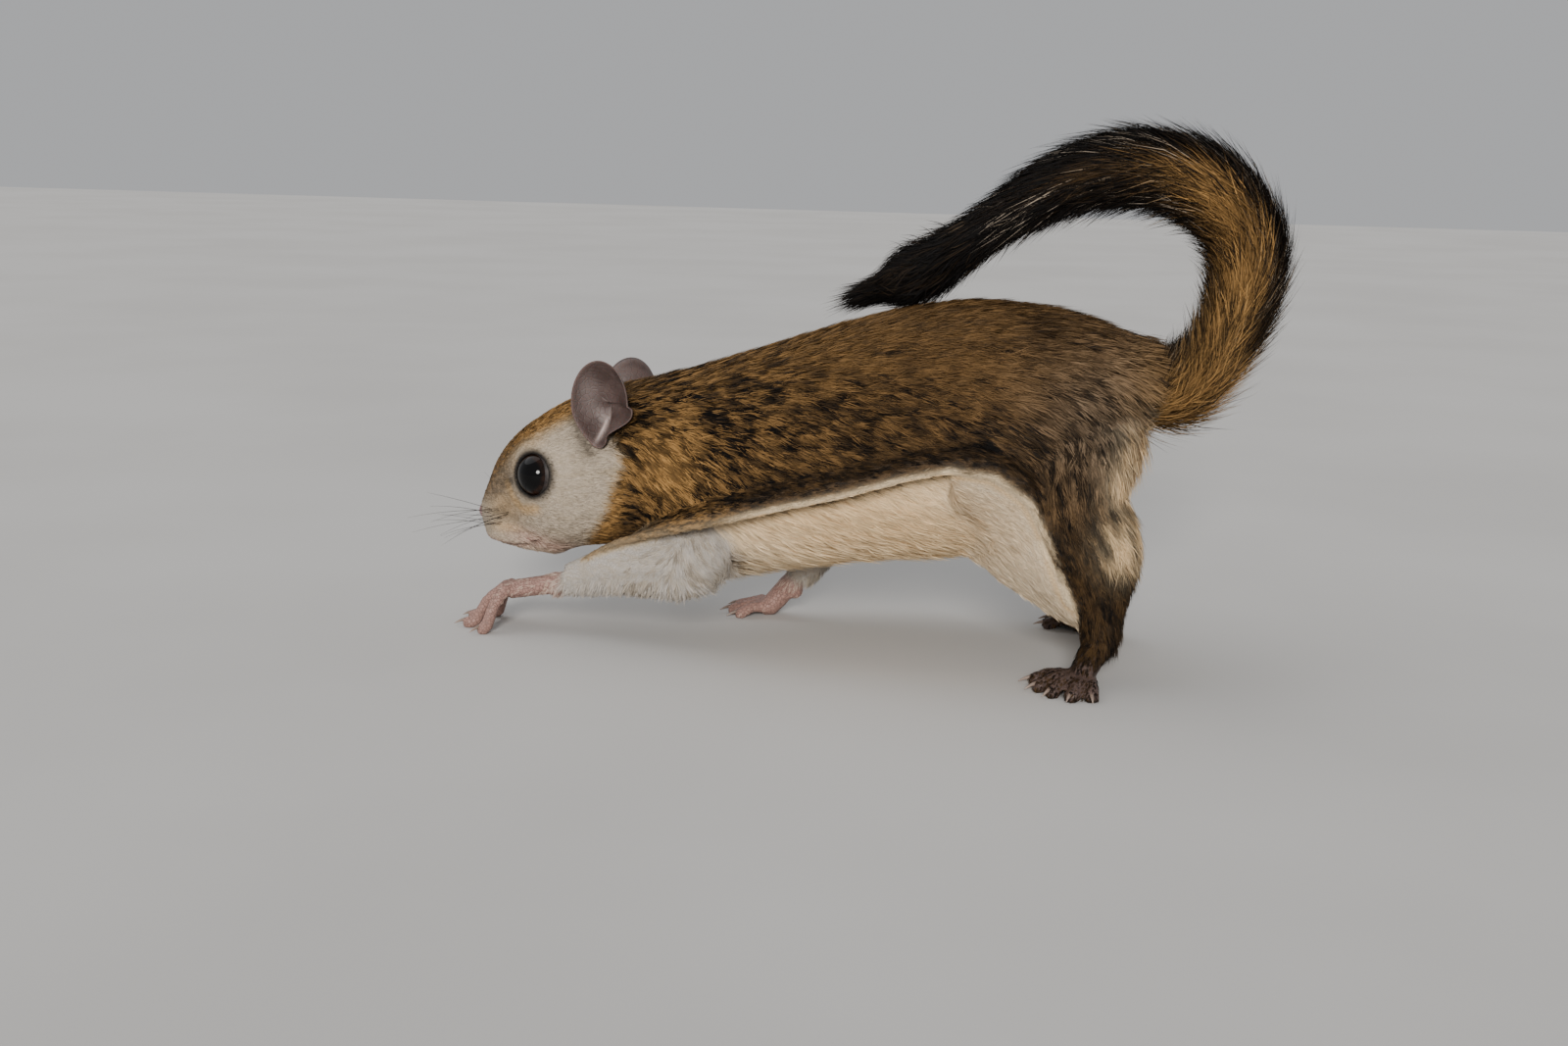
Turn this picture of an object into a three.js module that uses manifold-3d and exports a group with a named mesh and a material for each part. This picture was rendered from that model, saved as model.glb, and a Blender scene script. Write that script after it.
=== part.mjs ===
// A flying squirrel at life size, in millimetres, +Z up and facing -X. It reaches forward on four feet,
// with the gliding membrane folded along each flank and the flat tail curled forward over the back.
// Trunk, neck and head are one smooth loft parted by thin cuts. Whatever grows from it stops a thin gap
// short.
import * as THREE from "three";
import { mergeVertices } from "three/addons/utils/BufferGeometryUtils.js";
import Module from "manifold-3d";

const wasm = await Module();
wasm.setup();

// Driving sizes
const GAP = 0.3; // clearance between pieces that meet
const GRID = 0.004; // every point is set on a grid this fine, so that no two nearly meet
const SLIVER = 0.05; // bumps lower than this are merged away
const LEFT = -1;
const RIGHT = 1;
const SIDES = [
  ["left", LEFT],
  ["right", RIGHT],
];
const EYE_RADIUS = 5.7;
const LID_THICKNESS = 1.1;
const EAR_LENGTH = 21;
const EAR_WIDTH = 15;
const EAR_WALL = 0.9;
const LIP_GROOVE = 0.45;
const CLAW_LENGTH = 3.4;
const TRUNK_SIDES = 26;
const TRUNK_RINGS = 48;
const LIMB_SIDES = 12;
const LIMB_RINGS = 13;
const TOE_SIDES = 6;
const TOE_RINGS = 5;
const TAIL_SIDES = 10;
const TAIL_RINGS = 34;
const TAIL_MARKS = 400; // places measured along the tail

const COLOUR = {
  back: 0x6b4a2a,
  face: 0xa39a8e,
  belly: 0xcfc0a8,
  membrane: 0x54402b,
  leg: 0x4a382a,
  hand: 0xb59a90,
  foot: 0x5d4a40,
  ear: 0x8d7a76,
  nose: 0x9c7f78,
  eye: 0x0b0808,
  claw: 0x3a2c26,
  tailOchre: 0xa9773d,
  tailBlack: 0x2a221c,
};

// Vectors and solids
const V = (x, y, z) => new THREE.Vector3(x, y, z);
const at = ({ x, y, z }) => V(x, y, z);
const rad = THREE.MathUtils.degToRad;
const { lerp } = THREE.MathUtils;

function solidOf(geometry) {
  const bare = geometry.index ? geometry.toNonIndexed() : geometry.clone();
  bare.deleteAttribute("normal");
  bare.deleteAttribute("uv");
  const merged = mergeVertices(bare, GRID / 4);
  return new wasm.Manifold(
    new wasm.Mesh({
      numProp: 3,
      vertProperties: merged.attributes.position.array,
      triVerts: new Uint32Array(merged.index.array),
    }),
  );
}

function geometryOf(solid) {
  const mesh = solid.getMesh();
  const places = new Float32Array(mesh.numVert * 3);
  for (let i = 0; i < mesh.numVert; i++) {
    places.set(mesh.vertProperties.subarray(i * mesh.numProp, i * mesh.numProp + 3), i * 3);
  }
  const geometry = new THREE.BufferGeometry();
  geometry.setAttribute("position", new THREE.BufferAttribute(places, 3));
  geometry.setIndex(new THREE.BufferAttribute(new Uint32Array(mesh.triVerts), 1));
  geometry.computeVertexNormals();
  return geometry;
}

const onGrid = (value) => Math.round(value / GRID) * GRID;

function setOnGrid(geometry) {
  geometry.attributes.position.array.forEach((value, i, places) => {
    places[i] = onGrid(value);
  });
  return geometry;
}

// A join or a cut can leave loose scraps and sealed hollows: only the largest closed surface stays.
function largest(solid) {
  return solid.decompose().reduce((a, b) => (b.volume() > a.volume() ? b : a));
}

const join = (solids) => solids.reduce((a, b) => a.add(b));
const cut = (solid, cutters) => cutters.reduce((a, b) => a.subtract(b), solid);

// A closed surface over rings of points, with a fan at each end. The quads of the second half of a ring are
// split the other way, so that both faces of a flat form are split alike.
function skinOver(rings) {
  const sides = rings[0].length;
  const middle = (ring) => ring.reduce((a, p) => a.add(p), V(0, 0, 0)).divideScalar(sides);
  const places = [...rings.flat(), middle(rings[0]), middle(rings.at(-1))].flatMap((p) => p.toArray());
  const first = rings.length * sides;
  const faces = [];
  for (let i = 0; i < rings.length - 1; i++) {
    for (let j = 0; j < sides; j++) {
      const a = i * sides + j;
      const b = i * sides + ((j + 1) % sides);
      const [c, d] = [a + sides, b + sides];
      faces.push(...(j < sides / 2 ? [a, b, d, a, d, c] : [a, b, c, b, d, c]));
    }
  }
  const end = (rings.length - 1) * sides;
  for (let j = 0; j < sides; j++) {
    const k = (j + 1) % sides;
    faces.push(first, k, j, first + 1, end + j, end + k);
  }
  const geometry = new THREE.BufferGeometry();
  geometry.setAttribute("position", new THREE.Float32BufferAttribute(places, 3));
  geometry.setIndex(faces);
  const solid = solidOf(geometry);
  if (solid.volume() > 0) return solid;
  geometry.setIndex([...faces].reverse());
  return solidOf(geometry);
}

// Smooth values between stations, each a plain object with the same named sizes.
function between(stations, steps) {
  const keys = Object.keys(stations[0]);
  const marks = stations.map((_, i) => i);
  const values = stations.flatMap((s) => keys.map((k) => s[k]));
  const curve = new THREE.CubicInterpolant(marks, values, keys.length);
  return Array.from({ length: steps + 1 }, (_, i) => {
    const row = curve.evaluate((i / steps) * (stations.length - 1));
    return Object.fromEntries(keys.map((k, n) => [k, row[n]]));
  });
}

const circle = (sides) => Array.from({ length: sides }, (_, i) => (i / sides) * 2 * Math.PI);

// A repeatable run of numbers from 0 to 1.
function seeded(seed) {
  let state = seed;
  return () => {
    state = (state * 16807) % 2147483647;
    return state / 2147483647;
  };
}

function egg(middle, size, turns, detail) {
  const shape = new THREE.SphereGeometry(1, detail, Math.ceil(detail * 0.6)).scale(...size);
  shape.applyQuaternion(new THREE.Quaternion().setFromEuler(new THREE.Euler(...turns.map(rad))));
  return solidOf(shape.translate(middle.x, middle.y, middle.z));
}

const ball = (middle, radius, detail) => egg(middle, [radius, radius, radius], [0, 0, 0], detail);

// Everything on the far side of a plane, given by a point and the way it faces.
function beyond(point, way) {
  const reach = 400;
  const box = new THREE.BoxGeometry(reach, reach, reach).translate(0, 0, reach / 2);
  box.applyQuaternion(new THREE.Quaternion().setFromUnitVectors(V(0, 0, 1), way));
  return solidOf(box.translate(point.x, point.y, point.z));
}

// The stretch of a solid between two planes, less half the gap at each.
function stretch(solid, start, end) {
  const cutters = [];
  const shifted = ({ point, way }, by) => point.clone().addScaledVector(way, by);
  if (start) cutters.push(beyond(shifted(start, GAP / 2), start.way.clone().negate()));
  if (end) cutters.push(beyond(shifted(end, -GAP / 2), end.way));
  return largest(cut(solid, cutters));
}

// A plane across the animal, leaning by an angle from upright.
const plane = (x, z, lean) => ({ point: V(x, 0, z), way: V(Math.cos(rad(lean)), 0, Math.sin(rad(lean))) });

// Trunk, neck and head: each station is a ring across the body from the nose to the root of the tail.
// x and z place its middle, lean tips its top forward, and wide, top and bottom are its reach.
const TRUNK = [
  { x: -74.2, z: 23.2, lean: 34, wide: 1.8, top: 2.6, bottom: 1.8 },
  { x: -72.9, z: 23.0, lean: 32, wide: 4.2, top: 5.8, bottom: 4.0 },
  { x: -70.3, z: 24.0, lean: 31, wide: 6.2, top: 8.8, bottom: 6.4 },
  { x: -67.3, z: 25.4, lean: 31, wide: 7.8, top: 11.6, bottom: 8.8 },
  { x: -64.1, z: 27.4, lean: 31, wide: 9.9, top: 14.3, bottom: 11.6 },
  { x: -60.3, z: 30.6, lean: 31, wide: 12.6, top: 15.8, bottom: 14.8 },
  { x: -55.6, z: 34.5, lean: 31, wide: 14.6, top: 16.5, bottom: 18.0 },
  { x: -49.6, z: 38.0, lean: 30, wide: 15.4, top: 17.2, bottom: 21.0 },
  { x: -43.5, z: 41.4, lean: 28, wide: 15.2, top: 17.2, bottom: 24.4 },
  { x: -37.0, z: 43.8, lean: 24, wide: 15.8, top: 17.2, bottom: 26.4 },
  { x: -29.0, z: 44.2, lean: 15, wide: 17.8, top: 18.4, bottom: 28.0 },
  { x: -18.0, z: 43.4, lean: 6, wide: 20.8, top: 22.6, bottom: 28.6 },
  { x: -3.0, z: 44.2, lean: 0, wide: 23.6, top: 27.4, bottom: 27.6 },
  { x: 13.0, z: 47.5, lean: -2, wide: 25.6, top: 30.0, bottom: 28.2 },
  { x: 28.0, z: 51.0, lean: -3, wide: 27.0, top: 31.0, bottom: 29.4 },
  { x: 43.0, z: 54.0, lean: -4, wide: 27.8, top: 30.6, bottom: 31.0 },
  { x: 57.0, z: 56.0, lean: -6, wide: 27.2, top: 28.2, bottom: 29.8 },
  { x: 69.0, z: 57.8, lean: -9, wide: 24.0, top: 24.0, bottom: 26.6 },
  { x: 78.0, z: 59.8, lean: -13, wide: 19.0, top: 18.4, bottom: 21.0 },
  { x: 84.6, z: 62.0, lean: -19, wide: 13.0, top: 13.0, bottom: 14.6 },
  { x: 89.0, z: 64.2, lean: -26, wide: 8.0, top: 8.4, bottom: 9.0 },
];

// Soft swellings of the head, on both sides: where, how far they reach and how far they rise.
const SWELLINGS = [
  { x: -68.6, y: 5.5, z: 22.0, reach: 4.6, rise: 1.5 }, // whisker pad
  { x: -64.6, y: 4.0, z: 17.6, reach: 3.4, rise: 1.1 }, // upper lip
  { x: -57.6, y: 1.6, z: 16.6, reach: 4.6, rise: 1.9 }, // chin
  { x: -52.5, y: 13.5, z: 26.0, reach: 7.5, rise: 1.1 }, // cheek
  { x: -60.2, y: 9.0, z: 46.0, reach: 4.8, rise: 0.8 }, // brow
  { x: -65.0, y: 9.0, z: 32.0, reach: 3.6, rise: -0.7 }, // hollow before the eye
];

function swell(point, middle) {
  const out = point.clone().sub(middle).normalize();
  const rise = SWELLINGS.reduce((sum, s) => {
    const away = V(s.x, s.y, s.z).distanceTo(V(point.x, Math.abs(point.y), point.z));
    return sum + s.rise * Math.exp(-((away / s.reach) ** 2));
  }, 0);
  return point.addScaledVector(out, rise);
}

function trunk(grow = 0) {
  return skinOver(
    between(TRUNK, TRUNK_RINGS).map((s, i) => {
      const past = grow * ((i === TRUNK_RINGS) - (i === 0));
      const middle = V(s.x + past * Math.cos(rad(s.lean)), 0, s.z + past * Math.sin(rad(s.lean)));
      return circle(TRUNK_SIDES).map((turn) => {
        const across = (s.wide + grow) * Math.cos(turn);
        const up = ((Math.sin(turn) > 0 ? s.top : s.bottom) + grow) * Math.sin(turn);
        const point = V(-up * Math.sin(rad(s.lean)), across, up * Math.cos(rad(s.lean))).add(middle);
        return swell(point, middle);
      });
    }),
  );
}

const CUTS = {
  nape: plane(-37.5, 44, 26),
  withers: plane(-21, 43, 8),
  waist: plane(18, 48, -2),
  hips: plane(54, 56, -6),
};

// A smooth tube through stations. wide is its reach across the body, deep its reach fore and aft.
function tube(stations, rings, sides, grow = 0) {
  const rows = between(stations, rings);
  const path = rows.map(at);
  return skinOver(
    path.map((point, i) => {
      const along = path[Math.min(i + 1, rings)].clone().sub(path[Math.max(i - 1, 0)]).normalize();
      const side = V(0, 1, 0).addScaledVector(along, -along.y).normalize();
      const front = side.clone().cross(along);
      return circle(sides).map((turn) =>
        point
          .clone()
          .addScaledVector(side, (rows[i].wide + grow) * Math.cos(turn))
          .addScaledVector(front, (rows[i].deep + grow) * Math.sin(turn)),
      );
    }),
  );
}

// Arms and legs
const ARMS = {
  left: {
    stations: [
      { x: -20, y: -5, z: 37, wide: 6.0, deep: 8.0 },
      { x: -17, y: -11, z: 31, wide: 6.2, deep: 8.4 },
      { x: -14.5, y: -17, z: 25, wide: 6.2, deep: 8.4 },
      { x: -18, y: -19, z: 20.6, wide: 6.0, deep: 7.4 },
      { x: -27, y: -18, z: 19.4, wide: 5.4, deep: 6.9 },
      { x: -36, y: -16.5, z: 17.8, wide: 4.6, deep: 6.0 },
      { x: -43.5, y: -15, z: 15.4, wide: 3.8, deep: 4.7 },
      { x: -50, y: -14, z: 13.2, wide: 3.0, deep: 3.5 },
    ],
    elbow: { point: V(-22, -19, 20.2), way: V(-0.94, 0, -0.34) },
    wrist: { point: V(-49, -14, 13.2), way: V(-1, 0, 0) },
  },
  right: {
    stations: [
      { x: -16, y: 11, z: 38, wide: 7.0, deep: 10.0 },
      { x: -8, y: 16, z: 32, wide: 6.6, deep: 9.4 },
      { x: 2, y: 19, z: 26, wide: 6.0, deep: 8.0 },
      { x: 7, y: 20, z: 20, wide: 5.2, deep: 6.6 },
      { x: 5, y: 19, z: 14, wide: 4.2, deep: 4.8 },
      { x: 1.5, y: 18, z: 9, wide: 3.4, deep: 3.7 },
    ],
    elbow: { point: V(6, 20, 20), way: V(0, 0, -1) },
    wrist: { point: V(2.4, 18.2, 10.4), way: V(-0.5, 0, -0.866) },
  },
};

const LEGS = {
  left: {
    stations: [
      { x: 71, y: -9, z: 57, wide: 10.0, deep: 15.4 },
      { x: 71.6, y: -15.5, z: 50, wide: 9.8, deep: 14.4 },
      { x: 73, y: -20, z: 41, wide: 8.6, deep: 12.2 },
      { x: 76.4, y: -21.5, z: 33, wide: 7.4, deep: 11.4 },
      { x: 79, y: -21, z: 25, wide: 6.2, deep: 8.8 },
      { x: 80, y: -20, z: 17, wide: 4.8, deep: 5.8 },
      { x: 80.4, y: -19, z: 9, wide: 3.8, deep: 4.2 },
    ],
    knee: { point: V(73, -20, 40), way: V(0.3, 0, -0.954) },
    ankle: { point: V(80.3, -19, 10.4), way: V(0, 0, -1) },
  },
  right: {
    stations: [
      { x: 66, y: 9, z: 52, wide: 10.0, deep: 15.0 },
      { x: 61, y: 16, z: 44, wide: 9.4, deep: 13.4 },
      { x: 60, y: 20, z: 35, wide: 8.6, deep: 11.4 },
      { x: 65, y: 21.5, z: 26, wide: 7.2, deep: 9.6 },
      { x: 72, y: 20.5, z: 18.4, wide: 6.0, deep: 7.2 },
      { x: 77.4, y: 19, z: 12.4, wide: 4.6, deep: 5.2 },
      { x: 81, y: 18.4, z: 8, wide: 3.8, deep: 4.2 },
    ],
    knee: { point: V(60.5, 20, 34), way: V(0.3, 0, -0.954) },
    ankle: { point: V(80, 18.6, 9.4), way: V(0.35, 0, -0.937) },
  },
};

// Hands and feet: from inside the limb past the heel and over the knuckles, with toes that fan out and drop
// to small flats on the floor. A soft pad lies under the wrist and behind the sole.
// Angles are measured from the heading, which is seen from above. A toe's length is a share of the longest.
const FEET = {
  forefoot_left: {
    start: V(-45.8, -14.6, 14.4),
    pad: V(-51, -14, 11),
    heel: V(-47.5, -14.1, 13.0),
    knuckles: V(-63, -12.8, 9.6),
    heading: -176,
    angles: [44, 10, -16, -40],
    lengths: [0.66, 0.92, 1, 0.82],
    longest: 12.4,
    thick: 1.45,
    palm: { heel: 3.0, wide: 3.4, deep: 2.0 },
  },
  forefoot_right: {
    start: V(5.2, 18.9, 13.8),
    pad: V(1.6, 18, 6.6),
    heel: V(3.0, 18.3, 11.0),
    knuckles: V(-4.8, 17.6, 2.2),
    heading: 176,
    angles: [34, 11, -11, -34],
    lengths: [0.8, 1, 0.98, 0.84],
    longest: 9.6,
    thick: 1.3,
    palm: { heel: 3.1, wide: 3.6, deep: 2.4 },
  },
  hindfoot_left: {
    start: V(80.2, -19.5, 14),
    pad: V(79.6, -20.4, 6.6),
    heel: V(80.4, -18.8, 9.8),
    knuckles: V(76.4, -26.6, 2.4),
    heading: -126,
    angles: [42, 20, 0, -20, -44],
    lengths: [0.74, 0.95, 1, 0.96, 0.8],
    longest: 9.8,
    thick: 1.45,
    palm: { heel: 3.8, wide: 4.6, deep: 2.6 },
  },
  hindfoot_right: {
    start: V(78.2, 18.8, 12.2),
    pad: V(79, 20.2, 6.4),
    heel: V(80.4, 18.6, 9.2),
    knuckles: V(75.6, 25.6, 2.4),
    heading: 134,
    angles: [42, 20, 0, -20, -42],
    lengths: [0.8, 0.96, 1, 0.95, 0.74],
    longest: 9.8,
    thick: 1.45,
    palm: { heel: 3.8, wide: 4.6, deep: 2.6 },
  },
};

function toe(root, way, length, thick) {
  const reach = (share, z) => root.clone().addScaledVector(way, length * share).setZ(z);
  const station = (point, girth) => ({ ...point, wide: thick * girth, deep: thick * girth });
  return [
    station(reach(-0.16, root.z), 1.05),
    station(reach(0.2, root.z + thick * 0.2), 0.98),
    station(reach(0.55, lerp(root.z, thick, 0.45) + thick * 0.5), 0.88),
    station(reach(0.8, thick * 1.2), 0.95),
    station(reach(0.96, thick * 0.72), 1.12),
    station(reach(1.06, thick * 0.8), 0.6),
  ];
}

function claw(tip, way) {
  const stations = [0, 0.35, 0.7, 1].map((t) => {
    const point = tip.clone().addScaledVector(way, CLAW_LENGTH * t);
    point.z += CLAW_LENGTH * (0.2 * Math.sin(Math.PI * t) - 0.16 * t);
    return { ...point, wide: lerp(0.62, 0.14, t), deep: lerp(0.85, 0.14, t) };
  });
  return tube(stations, 3, 4);
}

const PAD_RADIUS = 2;

function foot({ start, pad, heel, knuckles, heading, angles, lengths, longest, thick, palm }) {
  const ahead = V(Math.cos(rad(heading)), Math.sin(rad(heading)), 0);
  const side = V(-ahead.y, ahead.x, 0);
  const middle = heel.clone().lerp(knuckles, 0.5);
  const fore = knuckles.clone().addScaledVector(ahead, palm.wide * 0.45);
  const sole = tube(
    [
      { ...heel, wide: palm.heel, deep: palm.heel },
      { ...middle, wide: palm.wide * 0.78, deep: palm.deep * 1.05 },
      { ...knuckles, wide: palm.wide, deep: palm.deep },
      { ...fore, wide: palm.wide * 0.6, deep: palm.deep * 0.6 },
    ],
    6,
    9,
  );
  const girth = { wide: palm.heel, deep: palm.heel };
  const ankle = tube([start, heel].map((point) => ({ ...point, ...girth })), 1, 9);
  const toes = angles.map((angle, i) => {
    const way = ahead.clone().applyAxisAngle(V(0, 0, 1), rad(angle));
    const root = knuckles.clone().addScaledVector(side, palm.wide * Math.sin(rad(angle)) * 1.05);
    const stations = toe(root, way, longest * lengths[i], thick);
    const end = at(stations.at(-1)).addScaledVector(way, GAP);
    return {
      solid: tube(stations, TOE_RINGS, TOE_SIDES),
      claw: cut(claw(at(stations[4]).setZ(thick * 1.2), way), [beyond(end, way.clone().negate())]),
    };
  });
  const pads = [ball(heel, palm.heel, 9), ball(pad, PAD_RADIUS, 8)];
  return { solid: join([ankle, sole, ...pads, ...toes.map((t) => t.solid)]), claws: toes.map((t) => t.claw) };
}

// Gliding membranes: a sheet from a root line on flank and limbs to a free edge from wrist to ankle.
// y is its reach from the middle plane, and thick its half thickness at the root.
const MEMBRANE_EDGE = 0.7;
const MEMBRANE_RINGS = 18;
const MEMBRANE_FACES = 3;

const MEMBRANES = {
  left: [
    { x: -42, y: 14.5, z: 18.6, edgeX: -44, edgeY: 17.0, edgeZ: 19.8, thick: 1.2 },
    { x: -34, y: 13.0, z: 22.0, edgeX: -35, edgeY: 21.0, edgeZ: 25.0, thick: 1.6 },
    { x: -24, y: 13.0, z: 29.0, edgeX: -24, edgeY: 25.5, edgeZ: 28.6, thick: 2.0 },
    { x: -12, y: 15.0, z: 38.0, edgeX: -10, edgeY: 28.0, edgeZ: 32.0, thick: 2.4 },
    { x: 4, y: 16.0, z: 46.0, edgeX: 6, edgeY: 29.5, edgeZ: 36.8, thick: 2.6 },
    { x: 20, y: 17.5, z: 52.0, edgeX: 21, edgeY: 31.0, edgeZ: 41.0, thick: 2.8 },
    { x: 34, y: 18.0, z: 56.0, edgeX: 34, edgeY: 32.0, edgeZ: 45.4, thick: 2.8 },
    { x: 46, y: 18.0, z: 59.0, edgeX: 46, edgeY: 32.5, edgeZ: 48.6, thick: 2.8 },
    { x: 58, y: 18.0, z: 56.0, edgeX: 56, edgeY: 32.0, edgeZ: 47.6, thick: 2.4 },
    { x: 68, y: 18.0, z: 44.0, edgeX: 63.6, edgeY: 29.0, edgeZ: 42.0, thick: 2.0 },
    { x: 74, y: 21.0, z: 30.0, edgeX: 68.4, edgeY: 26.5, edgeZ: 31.0, thick: 1.7 },
    { x: 78, y: 20.0, z: 18.0, edgeX: 73.6, edgeY: 22.5, edgeZ: 18.5, thick: 1.2 },
  ],
  right: [
    { x: 5, y: 18.0, z: 15.0, edgeX: 9, edgeY: 21.5, edgeZ: 13.0, thick: 1.2 },
    { x: 6, y: 20.0, z: 24.0, edgeX: 15, edgeY: 26.0, edgeZ: 16.5, thick: 1.8 },
    { x: 12, y: 22.0, z: 38.0, edgeX: 21, edgeY: 28.5, edgeZ: 19.0, thick: 2.2 },
    { x: 24, y: 24.0, z: 46.0, edgeX: 29, edgeY: 29.5, edgeZ: 20.2, thick: 2.4 },
    { x: 36, y: 24.0, z: 50.0, edgeX: 37, edgeY: 30.0, edgeZ: 20.6, thick: 2.4 },
    { x: 47, y: 24.0, z: 48.0, edgeX: 45, edgeY: 30.0, edgeZ: 19.6, thick: 2.4 },
    { x: 56, y: 22.0, z: 38.0, edgeX: 54, edgeY: 28.5, edgeZ: 17.0, thick: 2.2 },
    { x: 65, y: 21.0, z: 27.0, edgeX: 62, edgeY: 26.5, edgeZ: 12.6, thick: 1.9 },
    { x: 72, y: 20.0, z: 18.0, edgeX: 67, edgeY: 23.5, edgeZ: 8.2, thick: 1.5 },
    { x: 77.4, y: 19.0, z: 12.0, edgeX: 72, edgeY: 21.0, edgeZ: 6.4, thick: 1.2 },
  ],
};

// The web before the left shank: a fold of the membrane that hangs from its free edge down to a hem between
// belly and ankle.
const WEB = [
  { x: 46.2, y: 30.7, z: 49.9, edgeX: 44, edgeY: 10.0, edgeZ: 27.0, thick: 1.6 },
  { x: 56.3, y: 30.1, z: 48.8, edgeX: 51, edgeY: 11.0, edgeZ: 24.6, thick: 1.6 },
  { x: 64.4, y: 27.0, z: 42.4, edgeX: 57, edgeY: 12.0, edgeZ: 20.4, thick: 1.5 },
  { x: 69.8, y: 25.1, z: 30.8, edgeX: 63.4, edgeY: 13.5, edgeZ: 17.2, thick: 1.4 },
  { x: 73.0, y: 23.0, z: 23.6, edgeX: 70, edgeY: 15.0, edgeZ: 13.8, thick: 1.3 },
  { x: 75.4, y: 21.4, z: 17.4, edgeX: 76, edgeY: 17.0, edgeZ: 12.2, thick: 1.1 },
];

function membrane(stations, side, bulge) {
  const rows = between(stations, MEMBRANE_RINGS);
  const lines = rows.map((r) => {
    const root = V(r.x, r.y * side, r.z);
    const edge = V(r.edgeX, r.edgeY * side, r.edgeZ);
    return Array.from({ length: MEMBRANE_FACES + 1 }, (_, k) => {
      const t = k / MEMBRANE_FACES;
      return root.clone().lerp(edge, t).add(V(0, bulge * Math.sin(Math.PI * t) * side, 0));
    });
  });
  return skinOver(
    lines.map((line, i) => {
      const ahead = lines[Math.min(i + 1, MEMBRANE_RINGS)];
      const behind = lines[Math.max(i - 1, 0)];
      const faces = line.map((point, k) => {
        const down = line[Math.min(k + 1, MEMBRANE_FACES)].clone().sub(line[Math.max(k - 1, 0)]);
        const normal = ahead[k].clone().sub(behind[k]).cross(down).normalize();
        const half = lerp(rows[i].thick, MEMBRANE_EDGE, k / MEMBRANE_FACES);
        return [half, -half].map((reach) => point.clone().addScaledVector(normal, reach));
      });
      return [...faces.map((f) => f[0]), ...faces.map((f) => f[1]).reverse()];
    }),
  );
}

// Tail: a flat brush along a curled line. wide is the brush's half width, deep its half thickness,
// and twist turns its pale underside, which faces out of the curl, towards the left.
const TAIL = [
  { x: 84, y: 0.0, z: 62.0, wide: 7.0, deep: 7.6, twist: 0 },
  { x: 92.6, y: 0.0, z: 66.0, wide: 8.4, deep: 8.6, twist: 8 },
  { x: 99.6, y: 0.2, z: 71.6, wide: 10.6, deep: 8.0, twist: 20 },
  { x: 104.4, y: 0.6, z: 79.0, wide: 12.4, deep: 6.8, twist: 30 },
  { x: 107.2, y: 1.0, z: 87.8, wide: 13.6, deep: 6.2, twist: 34 },
  { x: 107.4, y: 1.6, z: 97.0, wide: 14.2, deep: 6.0, twist: 35 },
  { x: 103.6, y: 2.2, z: 105.4, wide: 14.4, deep: 6.0, twist: 35 },
  { x: 96.4, y: 3.0, z: 111.4, wide: 14.4, deep: 6.0, twist: 35 },
  { x: 87.0, y: 4.0, z: 114.6, wide: 14.4, deep: 6.0, twist: 34 },
  { x: 76.0, y: 5.4, z: 114.6, wide: 14.2, deep: 5.8, twist: 32 },
  { x: 65.2, y: 7.0, z: 111.4, wide: 13.6, deep: 5.6, twist: 28 },
  { x: 55.0, y: 8.6, z: 105.4, wide: 12.6, deep: 5.4, twist: 22 },
  { x: 45.4, y: 10.2, z: 98.4, wide: 11.2, deep: 5.0, twist: 16 },
  { x: 36.0, y: 11.6, z: 91.6, wide: 8.8, deep: 4.4, twist: 12 },
  { x: 28.0, y: 12.6, z: 87.0, wide: 5.6, deep: 3.4, twist: 10 },
  { x: 22.0, y: 13.2, z: 84.6, wide: 1.8, deep: 1.4, twist: 10 },
];

// Each length of the tail: its name, how far along the tail it starts and its colour.
const TAIL_LENGTHS = [
  ["tail_base", 0, COLOUR.tailOchre],
  ["tail_rise", 25, COLOUR.tailOchre],
  ["tail_bend", 48, COLOUR.tailOchre],
  ["tail_crown", 71, COLOUR.tailBlack],
  ["tail_fall", 94, COLOUR.tailBlack],
  ["tail_tip", 117, COLOUR.tailBlack],
];

// The brush: flat locks rooted in a thin core, which sweep towards the tip and out to the brush's outline.
// Each row runs the length of the tail at an angle round it: 0 and 180 are the edges, 90 the pale underside.
const CORE_SHARE = 0.46; // the core's reach, as a share of the brush's
const ROOT_SHARE = 0.2; // how far out a lock's root lies, in the core
const LOCK_ROWS = [
  { angle: 0, first: 2, spacing: 8.2, length: 24, wide: 3.6 },
  { angle: 180, first: 6, spacing: 8.2, length: 24, wide: 3.6 },
  { angle: 58, first: 1, spacing: 14, length: 25, wide: 4.8 },
  { angle: 112, first: 8, spacing: 14, length: 25, wide: 4.8 },
  { angle: 246, first: 4, spacing: 14, length: 25, wide: 4.8 },
  { angle: 296, first: 11, spacing: 14, length: 25, wide: 4.8 },
];
const LOCK_HALF_THICKNESS = { root: 1.0, tip: 0.3 };
const LOCK_MARKS = [0, 0.36, 0.72, 1];
const SLICE_REACH = 46;

function tailFrames(steps) {
  const rows = between(TAIL, steps);
  const path = rows.map(at);
  return path.map((point, i) => {
    const along = path[Math.min(i + 1, steps)].clone().sub(path[Math.max(i - 1, 0)]).normalize();
    const level = V(0, 1, 0).addScaledVector(along, -along.y).normalize();
    const side = level.applyAxisAngle(along, rad(-rows[i].twist));
    return { point, along, side, out: side.clone().cross(along).normalize(), size: rows[i] };
  });
}

const marks = tailFrames(TAIL_MARKS);
const tailReach = [0];
for (let i = 1; i < marks.length; i += 1) {
  tailReach.push(tailReach[i - 1] + marks[i].point.distanceTo(marks[i - 1].point));
}
const tailLength = tailReach.at(-1);
const tailAt = (distance) => marks[Math.max(0, tailReach.findLastIndex((reach) => reach <= distance))];

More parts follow.
